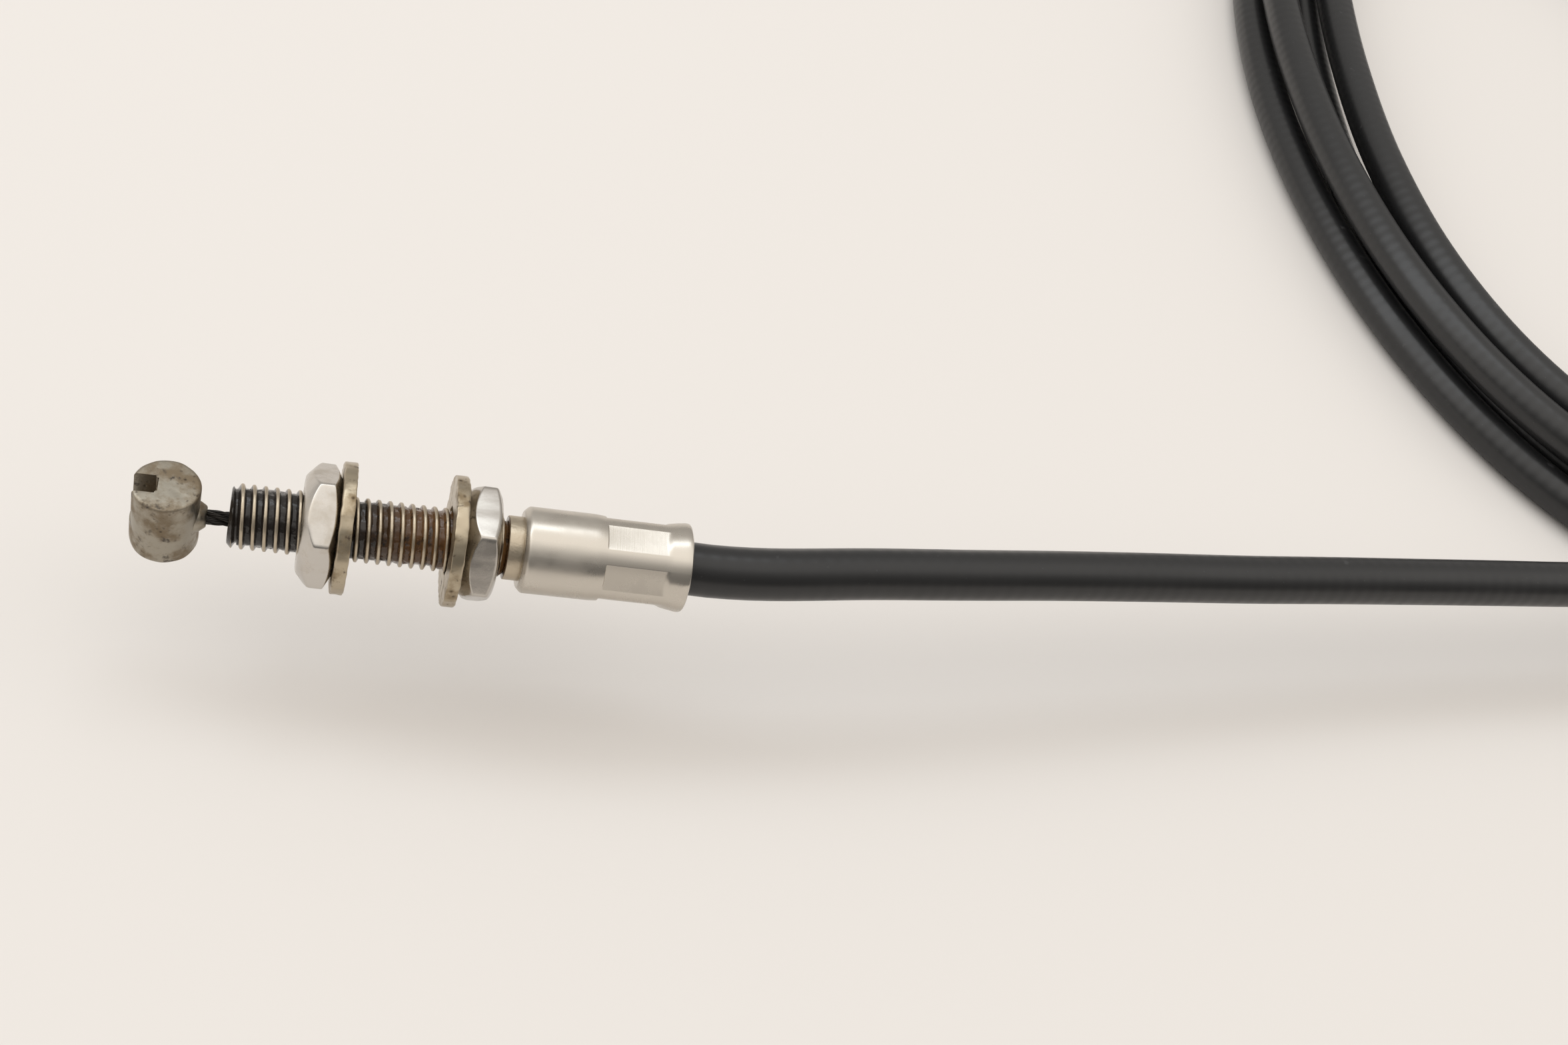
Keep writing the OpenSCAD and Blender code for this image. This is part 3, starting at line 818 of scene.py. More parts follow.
def path_line(name: str, points: Sequence[Vector]) -> bpy.types.Object:
    """Makes a line of edges for a tree to work along.

    Args:
        name: The object's name.
        points: The points along it.

    Returns:
        The object.
    """
    mesh = bmesh.new()
    verts = [mesh.verts.new(p) for p in points]
    for a, b in zip(verts, verts[1:]):
        mesh.edges.new((a, b))
    return new_piece(name, mesh, None)


def filleted(corners: Sequence[tuple[float, ...]], steps: int = 4) -> list[Vector]:
    """Rounds the corners of a closed outline.

    Args:
        corners: Each corner's two coordinates and its radius, 0 for a sharp one.
        steps: How many edges each rounding has.

    Returns:
        The outline's points.
    """
    points: list[Vector] = []
    for k, (x, y, radius) in enumerate(corners):
        here = Vector((x, y))
        if radius <= 0:
            points.append(here)
            continue
        before = Vector(corners[k - 1][:2]) - here
        after = Vector(corners[(k + 1) % len(corners)][:2]) - here
        start = here + before.normalized() * min(radius, before.length * 0.49)
        stop = here + after.normalized() * min(radius, after.length * 0.49)
        for n in range(steps + 1):
            t = n / steps
            points.append(start * (1 - t) ** 2 + here * (2 * t * (1 - t)) + stop * t**2)
    return points


def round_x(x: float, radius: float, angle: float) -> Vector:
    """Gives the point at a radius and an angle round X, in degrees from +Y towards +Z."""
    a = math.radians(angle)
    return Vector((x, radius * math.cos(a), radius * math.sin(a)))


def join_rings(mesh: bmesh.types.BMesh, rings: list[list[bmesh.types.BMVert]], closed: bool = True) -> None:
    """Puts faces between each ring of points and the next, and between the last and the first.

    Args:
        mesh: The mesh that the points are in.
        rings: The rings, with as many points each.
        closed: Whether each ring is a closed loop.
    """
    for a, b in zip(rings, rings[1:] + rings[:1]):
        count = len(a)
        for k in range(count if closed else count - 1):
            j = (k + 1) % count
            mesh.faces.new((a[k], a[j], b[j], b[k]))


def add_box(mesh: bmesh.types.BMesh, size: Vector, at: Vector) -> None:
    """Adds a box to a mesh.

    Args:
        mesh: The mesh.
        size: The box's sides in millimetres.
        at: Its middle in millimetres.
    """
    for vert in bmesh.ops.create_cube(mesh, size=1.0)["verts"]:
        vert.co = Vector(a * b for a, b in zip(vert.co, size * MM)) + at * MM


Outline = Callable[[float], Sequence[Vector]]


def turned(outline: Outline, angles: Sequence[float], closed: bool = True) -> bmesh.types.BMesh:
    """Turns an outline about X. The outline may change as it goes round.

    Args:
        outline: Gives the points (x, radius) in millimetres at an angle in degrees from +Y towards +Z.
        angles: The angles of its sections, in order.
        closed: Whether each section is a closed loop. An open one begins and ends on the axis.

    Returns:
        The closed mesh in metres.
    """
    mesh = bmesh.new()
    rows = []
    for angle in angles:
        rows.append([mesh.verts.new(round_x(p.x, p.y, angle) * MM) for p in outline(angle)])
    join_rings(mesh, rows, closed)
    if not closed:
        bmesh.ops.remove_doubles(mesh, verts=mesh.verts, dist=1e-7)
    bmesh.ops.recalc_face_normals(mesh, faces=mesh.faces)
    return mesh


def even_angles(count: int) -> list[float]:
    """Gives a whole turn in even steps."""
    return [360 * k / count for k in range(count)]


def off_flat(angle: float, turn: float) -> float:
    """Gives how far an angle is from the middle of the nearest of six flats, in degrees."""
    return (angle - turn + 30) % 60 - 30


def roughen(mesh: bmesh.types.BMesh, depth: float, scale: float, where: Callable[[Vector], float]) -> None:
    """Pushes points in and out along their normals by a noise.

    Args:
        mesh: The mesh.
        depth: The most that a point moves, in millimetres.
        scale: The noise's scale, per millimetre.
        where: How much of it counts at a place in millimetres.
    """
    mesh.normal_update()
    moves = []
    for vert in mesh.verts:
        at = vert.co / MM
        moves.append(vert.normal * noise.noise(at * scale) * depth * where(at) * MM)
    for vert, move in zip(mesh.verts, moves):
        vert.co += move


def minus(piece: bpy.types.Object, cutter: bpy.types.Object) -> bpy.types.Object:
    """Cuts one piece out of another and removes the cutter.

    Args:
        piece: What is cut.
        cutter: What cuts it.

    Returns:
        The cut piece.
    """
    modifier = piece.modifiers.new("cut", "BOOLEAN")
    modifier.operation = "DIFFERENCE"
    modifier.solver = "EXACT"
    modifier.object = cutter
    bake(piece, modifier)
    bpy.data.objects.remove(cutter)
    piece.data.set_sharp_from_angle(angle=math.radians(SHARP))
    return piece


# ---------------------------------------------------------------- camera, light and floor


@dataclass(frozen=True)
class Viewpoint:
    """The camera: where it stands in metres, which way is right and up, and its lens in millimetres."""

    place: Vector = Vector((-14.13, -127.67, 153.17)) * MM
    right: Vector = Vector((0.96316, -0.06639, 0.26059))
    up: Vector = Vector((-0.11871, 0.76455, 0.63354))
    lens: float = 50.0
    sensor: float = 36.0

    def build(self) -> None:
        """Places the camera."""
        data = bpy.data.cameras.new("camera")
        data.sensor_fit = "HORIZONTAL"
        data.sensor_width = self.sensor
        data.lens = self.lens
        data.clip_start = 0.01
        data.clip_end = 10.0
        camera = bpy.data.objects.new("camera", data)
        back = self.right.cross(self.up).normalized()
        turn = Matrix((self.right.normalized(), self.up.normalized(), back)).transposed()
        camera.matrix_world = Matrix.Translation(self.place) @ turn.to_4x4()
        bpy.context.scene.collection.objects.link(camera)
        bpy.context.scene.camera = camera


@dataclass(frozen=True)
class StripLight:
    """A long soft lamp in metres and watts, whose long side lies along X and which faces a point.

    Its slope is how far it stands off the upright in x and y for each metre of height.
    """

    name: str
    slope: tuple[float, float]
    away: float
    size: tuple[float, float]
    power: float
    colour: Colour = (1.0, 1.0, 1.0)
    aim: Vector = Vector((0.02, 0.0, -0.005))

    def build(self) -> None:
        """Places the lamp."""
        data = bpy.data.lights.new(self.name, "AREA")
        data.shape = "RECTANGLE"
        data.size, data.size_y = self.size
        data.energy = self.power
        data.color = self.colour
        lamp = bpy.data.objects.new(self.name, data)
        back = Vector((*self.slope, 1.0)).normalized()
        side = (Vector((1, 0, 0)) - back * back.x).normalized()
        turn = Matrix((side, back.cross(side), back)).transposed()
        lamp.matrix_world = Matrix.Translation(self.aim + back * self.away) @ turn.to_4x4()
        bpy.context.scene.collection.objects.link(lamp)


@dataclass(frozen=True)
class StudioSky:
    """The light all round, the same for every ray: a broad bright ceiling over a dimmer room.

    A level's place is the share of the way from +Y over the top to -Y. What is below the horizon has the
    first level on the +Y side and on the -Y side alike.
    """

    colour: Colour = (1.0, 0.963, 0.914)
    strength: float = 1.41
    leftward: float = 0.15
    levels: tuple[tuple[float, float], ...] = (
        (0.0, 0.34),
        (0.2, 0.42),
        (0.33, 0.66),
        (0.4, 0.92),
        (0.46, 1.0),
        (0.6, 1.0),
        (0.66, 0.66),
        (0.74, 0.34),
        (0.86, 0.16),
        (1.0, 0.12),
    )

    def build(self) -> None:
        """Builds the world."""
        world = bpy.data.worlds.new("studio")
        world.use_nodes = True
        sky = Tree(world.node_tree)
        way = sky.feed(sky.add("SeparateXYZ"), Vector=sky.add("TexCoord").outputs["Generated"]).outputs
        turn = sky.maths("DIVIDE", sky.maths("ARCTAN2", way["Z"], way["Y"]), math.pi)
        ramp = sky.feed(sky.add("ValToRGB"), Fac=turn)
        ramp.color_ramp.interpolation = "EASE"
        marks = ramp.color_ramp.elements
        while len(marks) < len(self.levels):
            marks.new(1.0)
        for mark, (place, level) in zip(marks, self.levels):
            mark.position = place
            mark.color = (*(level * part for part in self.colour), 1.0)
        side = sky.maths("MULTIPLY_ADD", way["X"], -self.leftward * self.strength, self.strength)
        room = sky.feed(sky.add("Background"), Color=ramp.outputs["Color"], Strength=side)
        sky.put(world.node_tree.nodes["World Output"].inputs["Surface"], room.outputs[0])
        world.cycles.sampling_method = "NONE"
        bpy.context.scene.world = world


@dataclass(frozen=True)
class Studio:
    """The pale sheet that the cable lies on, the lamp over it and the light all round."""

    floor_z: float = -17.5 * MM
    sheet: float = 40.0
    sheet_colour: Colour = (0.832, 0.80, 0.77)
    sky: StudioSky = StudioSky()
    key: StripLight = StripLight("key", (-0.5, 0.47), 0.78, (1.2, 0.2), 1.25, (0.92, 1.0, 1.08))

    def build(self) -> None:
        """Builds the floor, the lamp and the world."""
        mesh = bmesh.new()
        half = self.sheet / 2
        corners = ((-half, -half), (half, -half), (half, half), (-half, half))
        mesh.faces.new([mesh.verts.new((x, y, self.floor_z)) for x, y in corners])
        floor = new_piece("floor", mesh, None)
        floor.data.materials.append(self.sheet_material())
        self.key.build()
        self.sky.build()
        bpy.context.scene.view_settings.view_transform = "Standard"

    def sheet_material(self) -> bpy.types.Material:
        """Builds the sheet's plain material.

        Returns:
            The material.
        """
        look = Surface("pale sheet")
        tooth = look.noise(look.place, 700.0, 4.0)
        look.shader.inputs["Specular IOR Level"].default_value = 0.0
        return look.dress(self.sheet_colour, 1.0, 0.0, look.relief(tooth, 4e-6))


# ---------------------------------------------------------------- housing


def smoothstep(t: float) -> float:
    """Gives an eased share between 0 and 1."""
    t = min(1.0, max(0.0, t))
    return t * t * (3 - 2 * t)


def hermite(t: float, a: tuple[float, float], b: tuple[float, float]) -> float:
    """Blends between two ends.

    Args:
        t: The share of the way, from 0 to 1.
        a: The first end's value and slope.
        b: The second end's value and slope.

    Returns:
        The value there.
    """
    return (
        (2 * t**3 - 3 * t**2 + 1) * a[0]
        + (t**3 - 2 * t**2 + t) * a[1]
        + (3 * t**2 - 2 * t**3) * b[0]
        + (t**3 - t**2) * b[1]
    )


@dataclass(frozen=True)
class CoilPlan:
    """The oval coil in millimetres, wound in on the upper layer and out on the lower.

    Turns are in degrees.
    """

    centre: tuple[float, float] = (163.3, 112.0)
    half: tuple[float, float] = (44.2, 80.0)
    first: float = 330.0
    last: float = 1710.0
    climb: tuple[float, float] = (960.0, 1140.0)
    top_turn: float = 540.0
    low_turn: float = 1620.0
    top_inset: float = 0.5
    top_pitch: float = 6.3
    low_pitch: float = 5.75
    top_z: float = -9.55
    low_z: float = -15.0
    far_z: float = -14.0
    leave_turns: float = 45.0
    leave_out: float = 3.0
    splay_at: float = 160.0
    splay_half: float = 65.0
    splay_outer: float = 1.9
    splay_upper: float = 4.6
    splay_lower: float = 3.0

    def top_inward(self, turn: float) -> float:
        """Gives how far in from the outer oval the upper layer is."""
        return self.top_inset + self.top_pitch * (turn - self.top_turn) / 360

    def low_inward(self, turn: float) -> float:
        """Gives how far in from the outer oval the lower layer is."""
        return self.low_pitch * (self.low_turn - turn) / 360

    def climb_share(self, turn: float) -> float:
        """Gives the share of the way from the upper layer down to the lower."""
        return (turn - self.climb[0]) / (self.climb[1] - self.climb[0])

    def leave_share(self, turn: float) -> float:
        """Gives the share of the way that the far end has left the coil."""
        return max(0.0, (turn - self.last + self.leave_turns) / self.leave_turns)

    def spread(self, turn: float) -> float:
        """Gives how far in this turn is pushed where the bundle spreads.

        Args:
            turn: The turn.

        Returns:
            The distance.
        """
        away = turn % 360 - self.splay_at
        if abs(away) > self.splay_half:
            return 0.0
        if turn < self.climb[0]:
            share = (self.top_inward(turn) - self.top_inset) / self.top_pitch
            most = self.splay_outer + (self.splay_upper - self.splay_outer) * share
        else:
            most = self.splay_lower * self.low_inward(turn) / self.low_pitch
        return most * (1 + math.cos(math.pi * away / self.splay_half)) / 2

    def inward(self, turn: float) -> float:
        """Gives how far in from the outer oval the housing's centre line is.

        Args:
            turn: The turn.

        Returns:
            The distance.
        """
        start, end = self.climb
        span = (end - start) / 360
        if turn < start:
            base = self.top_inward(turn)
        elif turn > end:
            base = self.low_inward(turn)
        else:
            base = hermite(
                self.climb_share(turn),
                (self.top_inward(start), self.top_pitch * span),
                (self.low_inward(end), -self.low_pitch * span),
            )
        return base + self.spread(turn) - self.leave_out * self.leave_share(turn) ** 2

    def point(self, turn: float) -> Vector:
        """Gives a point of the centre line.

        Args:
            turn: The turn.

        Returns:
            The point in millimetres.
        """
        inset, angle = self.inward(turn), math.radians(turn)
        drop = smoothstep(self.climb_share(turn))
        leave = self.leave_share(turn) ** 2
        return Vector(
            (
                self.centre[0] + (self.half[0] - inset) * math.cos(angle),
                self.centre[1] + (self.half[1] - inset) * math.sin(angle),
                self.top_z + (self.low_z - self.top_z) * drop + (self.far_z - self.low_z) * leave,
            )
        )

    def ahead(self, turn: float, later: float) -> Vector:
        """Gives the level heading from one turn to a slightly later one."""
        step = self.point(later) - self.point(turn)
        return Vector((step.x, step.y, 0)).normalized()


COIL = CoilPlan()

# The housing's free run in millimetres, from inside the ferrule to where the coil begins.
RUN = (
    (12.85, 0, 0), (20, 0, 0), (26, 0, 0), (30, 0, 0), (35.5, 0.5, 0), (45.1, 2.2, -0.3),
    (55.4, 3.95, -0.8), (65.9, 5.85, -1.4), (76.7, 7.75, -2.1), (87.6, 9.6, -2.8), (98.8, 11.55, -3.4),
    (108.7, 13.2, -3.9), (118.9, 14.8, -4.3), (129.1, 16.3, -4.6), (138.5, 17.9, -4.8),
    (148, 19.8, -4.9), (157.5, 22.3, -5), (166.3, 25.2, -5.2), (174.4, 28.8, -5.7), (183.3, 35.3, -7.1),
    (190.8, 43.6, -8.6), (196.8, 52.5, -9.35),
)  # fmt: skip


def resample(points: Sequence[Vector], step: float) -> list[Vector]:
    """Runs a smooth curve through points and divides it evenly.

    Args:
        points: The points.
        step: The distance between the new points.

    Returns:
        The new points.
    """
    fine: list[Vector] = []
    for i in range(len(points) - 1):
        a, b = points[max(0, i - 1)], points[i]
        c, d = points[i + 1], points[min(len(points) - 1, i + 2)]
        pieces = max(2, round((c - b).length / step * 3))
        for k in range(pieces):
            t = k / pieces
            bend = (2 * a - 5 * b + 4 * c - d) * t**2 + (3 * b - a - 3 * c + d) * t**3
            fine.append(0.5 * (2 * b + (c - a) * t + bend))
    fine.append(points[-1])
    even, left = [fine[0]], step
    for a, b in zip(fine, fine[1:]):
        span = (b - a).length
        while left <= span:
            even.append(a.lerp(b, left / span))
            left += step
        left -= span
    even.append(fine[-1])
    return even


@dataclass
class Housing:
    """The sheathed housing from inside the ferrule through its coil to the far cap, in millimetres."""

    diameter: float = 5.0
    exit_x: float = 26.5
    far_inside: float = 16.5
    ring_turn: float = 15.0
    step: float = 2.0
    sides: int = 28
    with_it: tuple[str, ...] = ("far_conduit_end", "far_liner_end")

    def route(self) -> list[Vector]:
        """Gives points along the whole centre line, in metres.

        Returns:
            The points, in order.
        """
        into = COIL.ahead(COIL.first, COIL.first + 1)
        out = COIL.ahead(COIL.last - 1, COIL.last)
        begin, end = COIL.point(COIL.first), COIL.point(COIL.last)
        turns = int((COIL.last - COIL.first) / self.ring_turn)
        points = [Vector(p) for p in RUN]
        points += [begin - into * self.diameter * k for k in (2, 1)]
        points += [COIL.point(COIL.first + self.ring_turn * k) for k in range(turns + 1)]
        points += [end + out * (self.diameter + far) for far in (0, self.far_inside / 2, self.far_inside)]
        return [p * MM for p in points]

    def build(self, on_it: Sequence[bpy.types.Object]) -> bpy.types.Object:
        """Builds the housing.

        Args:
            on_it: The pieces at its far end. Not used.

        Returns:
            The housing.
        """
        path = resample(self.route(), self.step * MM)
        piece = PathTube(Finish.JACKET).run(
            path_line("housing", path), Radius=self.diameter / 2 * MM, Sides=self.sides
        )
        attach(piece, "fitting")
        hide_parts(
            "housing_run", "run_conduit", "housing_coil", "coil_conduit", "jacket_end", "far_jacket_end"
        )
        return piece


@dataclass
class CoilTie:
    """The nylon tie round the coil's four strands, in millimetres."""

    turn: float = 90.0
    width: float = 2.0
    thickness: float = 0.4
    slack: float = 0.1
    head: tuple[float, float] = (4.4, 2.6)
    head_sunk: float = 0.3
    head_wider: float = 1.4
    edge: float = 0.12
    sides: int = 16

    def strands(self) -> list[Vector]:
        """Gives where the strands cross the tie."""
        turns = [self.turn + 360 * k for k in range(1, 5)]
        return [COIL.point(t) for t in turns if t < COIL.last]

    def hull(self, grow: float) -> list[Vector]:
        """Gives the outline that goes round the strands.

        Args:
            grow: How far outside them it runs.

        Returns:
            Its corners, in order.
        """
        flat = bmesh.new()
        reach = Housing().diameter / 2 + grow
        for strand in self.strands():
            for angle in even_angles(4 * self.sides):
                a = math.radians(angle)
                flat.verts.new((strand.x, strand.y + reach * math.cos(a), strand.z + reach * math.sin(a)))
        middle = sum((s for s in self.strands()), Vector()) / len(self.strands())
        spots = [v.co.copy() for v in flat.verts]
        flat.free()
        outline = []
        for angle in even_angles(6 * self.sides):
            way = Vector((0, math.cos(math.radians(angle)), math.sin(math.radians(angle))))
            best = max(spots, key=lambda spot: (spot - middle).dot(way))
            if not outline or (best - outline[-1]).length > 1e-6:
                outline.append(best)
        return outline

    def build(self) -> bpy.types.Object:
        """Builds the tie.

        Returns:
            The tie.
        """
        inner, outer = self.hull(self.slack), self.hull(self.slack + self.thickness)
        mesh = bmesh.new()
        half = Vector((self.width / 2, 0, 0))
        loops = []
        for ring, side in ((inner, -half), (outer, -half), (outer, half), (inner, half)):
            loops.append([mesh.verts.new((p + side) * MM) for p in ring])
        join_rings(mesh, loops)
        top = max(p.z for p in outer)
        middle = sum(p.y for p in outer) / len(outer)
        long, high = self.head
        size = Vector((self.width * self.head_wider, long, high))
        add_box(mesh, size, Vector((COIL.centre[0], middle + long / 2, top + high / 2 - self.head_sunk)))
        bmesh.ops.recalc_face_normals(mesh, faces=mesh.faces)
        piece = new_piece("coil_tie_band", mesh, Finish.TIE)
        bevel = piece.modifiers.new("edges", "BEVEL")
        bevel.width = self.edge * MM
        bevel.segments = 2
        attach(piece, "fitting")
        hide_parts("coil_tie")
        return piece


# ---------------------------------------------------------------- fitting


@dataclass
class AdjusterScrew:
    """The hollow screw, with its helical thread, its neck and the grease on it, in millimetres."""

    start: float = -15.0
    length: float = 24.5
    pitch: float = 1.0
    crest: float = 2.925
    root: float = 2.4
    bore: float = 1.5
    bevel: float = 0.45
    neck: float = 2.95
    neck_end: float = 11.05
    spigot: float = 2.3
    spigot_end: float = 12.8
    steps: int = 72
    rows_per_mm: int = 20
    sharp: float = 50.0
    grease_from: float = 0.9
    grease_to: float = 23.9
    grease_high: float = 0.16
    grease_rows_per_mm: int = 8

    def blank(self) -> bmesh.types.BMesh:
        """Turns the blank that the thread is cut into.

        Returns:
            Its mesh.
        """
        stop = self.start + self.length
        rows = int(self.length * self.rows_per_mm)
        skin = [Vector((self.start, self.bore + 0.15)), Vector((self.start, self.crest - self.bevel - 0.1))]
        for k in range(1, rows + 1):
            x = self.start + self.length * k / rows
            away = min(x - self.start, stop - x)
            skin.append(Vector((x, min(self.crest, self.crest - self.bevel + away))))
        end = filleted(
            (
                (stop + 0.05, self.root, 0), (stop + 0.12, self.neck, 0.1), (self.neck_end, self.neck, 0.1),
                (self.neck_end, self.spigot, 0), (self.spigot_end, self.spigot, 0),
                (self.spigot_end, self.bore, 0), (self.start + 0.15, self.bore, 0),
            ),
            3,
        )  # fmt: skip
        outline = skin + end
        return turned(lambda angle: outline, even_angles(self.steps))

    def grease_radius(self, x: float, angle: float) -> float:
        """Gives how high the grease stands in the thread.

        Args:
            x: The place along the screw.
            angle: The angle round it.

        Returns:
            The radius of its surface.
        """
        at = round_x(x * 0.9, 2.2, angle)
        lumps = 0.16 * noise.noise(at * 0.8) + 0.1 * noise.noise(at * 2.6)
        return min(self.crest - 0.03, self.root + self.grease_high + lumps)

    def build(self) -> list[bpy.types.Object]:
        """Builds the screw, its grease and the crumbs stuck in that.

        Returns:
            The three pieces.
        """
        screw = ThreadCutter(Finish.THREAD).run(
            new_piece("screw", self.blank(), None, self.sharp),
            Start=self.start * MM,
            Stop=(self.start + self.length) * MM,
            Pitch=self.pitch * MM,
            Root=self.root * MM,
            Crest=self.crest * MM,
        )
        screw.data.set_sharp_from_angle(angle=math.radians(self.sharp))
        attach(screw, "fitting")
        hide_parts("adjuster_screw")
        grease = self.grease()
        crumbs = self.crumbs(grease)
        return [screw, grease, crumbs]

    def grease(self) -> bpy.types.Object:
        """Builds the grease as a skin that fills the thread unevenly.

        Returns:
            The skin.
        """
        begin, stop = self.start + self.grease_from, self.start + self.grease_to
        rows = int((stop - begin) * self.grease_rows_per_mm)
        xs = [begin + (stop - begin) * k / rows for k in range(rows + 1)]

        def outline(angle: float) -> list[Vector]:
            """Gives one section of the skin.

            Args:
                angle: The angle that it lies at.

            Returns:
                The section's points.
            """
            under = self.root - 0.1
            skin = [Vector((x, self.grease_radius(x, angle))) for x in xs]
            return [Vector((begin, under)), *skin, Vector((stop, under))]

        piece = new_piece("thread_grease", turned(outline, even_angles(self.steps)), Finish.GREASE, 80.0)
        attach(piece, "fitting")
        return piece

    def crumbs(self, grease: bpy.types.Object) -> bpy.types.Object:
        """Scatters dirt over the grease.

        Args:
            grease: The grease.

        Returns:
            The dirt.
        """
        start = bpy.data.objects.new("thread_dirt", grease.data.copy())
        bpy.context.scene.collection.objects.link(start)
        piece = Crumbs(Finish.GREASE).run(start, Density=1.6e6, Size=0.11 * MM, Seed=5)
        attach(piece, "fitting")
        return piece


class Side(Enum):
    """Which of the two nut and washer pairs, and the way from the clamped plate towards its nut."""

    FRONT = -1
    REAR = 1


@dataclass
class ClampPair:
    """A washer and a thin nut on one side of the clamped plate, in millimetres."""

    side: Side
    turn: float
    nut_finish: Finish
    washer_face: float = 4.4
    washer_thick: float = 1.2
    washer_hole: float = 3.175
    washer_out: float = 6.0
    nut_thick: float = 3.2
    nut_flats: float = 10.0
    nut_bore: float = 2.985
    deep_bevel: tuple[float, float] = (4.35, 42.0)
    slight_bevel: tuple[float, float] = (4.4, 27.0)
    corner_worn: float = 0.06
    face_rings: tuple[float, float] = (4.4, 5.2)
    back_ring: float = 5.0
    burr_from: float = 5.7
    scaly_depth: float = 0.3

    def washer(self) -> bpy.types.Object:
        """Builds the washer, with a burr on its rim and a scaly face.

        Returns:
            The washer.
        """
        way, hole, rim = self.side.value, self.washer_hole, self.washer_out
        near, far = self.washer_face * way, (self.washer_face + self.washer_thick) * way
        inner_ring, outer_ring = self.face_rings
        outline = filleted(
            (
                (near, hole, 0.06), (near, inner_ring, 0), (near, outer_ring, 0), (near, rim, 0.14),
                ((near + far) / 2, rim, 0), (far, rim, 0.24), (far, self.back_ring, 0), (far, hole, 0.06),
            )
        )  # fmt: skip
        mesh = turned(lambda angle: outline, even_angles(144))
        roughen(mesh, 0.07, 1.3, lambda at: 1.0 if math.hypot(at.y, at.z) > self.burr_from else 0.15)
        scaly_to = self.washer_face + self.scaly_depth
        roughen(mesh, 0.035, 3.7, lambda at: 1.0 if abs(at.x) < scaly_to else 0.2)
        name = self.side.name.lower() + "_washer"
        piece = new_piece(name + "_ring", mesh, Finish.DULL_WASHER, 50.0)
        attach(piece, name)
        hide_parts(name)
        return piece

    def nut_section(self, angle: float) -> list[Vector]:
        """Gives the nut's section. The side that faces the nipple has the deeper bevel.

        Args:
            angle: The angle that it lies at.

        Returns:
            The section's points.
        """
        way = self.side.value
        seat = (self.washer_face + self.washer_thick) * way
        bevels = [self.deep_bevel, self.slight_bevel]
        if self.side is Side.FRONT:
            bevels.reverse()
        (seat_r, seat_angle), (face_r, face_angle) = bevels
        half, thick, bore = self.nut_flats / 2, self.nut_thick, self.nut_bore
        corner = half / math.cos(math.radians(30)) - self.corner_worn
        reach = min(half / math.cos(math.radians(off_flat(angle, self.turn))), corner)
        near = (reach - seat_r) * math.tan(math.radians(seat_angle))
        far = thick - (reach - face_r) * math.tan(math.radians(face_angle))
        corners = filleted(
            (
                (0.35, bore, 0.05), (0, bore + 0.4, 0.05), (0, seat_r, 0.1), (near, reach, 0.12),
                (far, reach, 0.2), (thick, face_r, 0.3), (thick, bore + 0.4, 0.08), (thick - 0.4, bore, 0.05),
            )
        )  # fmt: skip
        return [Vector((seat + way * p.x, p.y)) for p in corners]

    def nut(self) -> bpy.types.Object:
        """Builds the nut.

        Returns:
            The nut.
        """
        mesh = turned(self.nut_section, even_angles(240))
        roughen(mesh, 0.02, 0.9, lambda at: 1.0)
        name = self.side.name.lower() + "_nut"
        piece = new_piece(name + "_body", mesh, self.nut_finish, 40.0)
        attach(piece, name)
        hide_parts(name)
        return piece

    def build(self) -> list[bpy.types.Object]:
        """Builds the pair."""
        return [self.washer(), self.nut()]


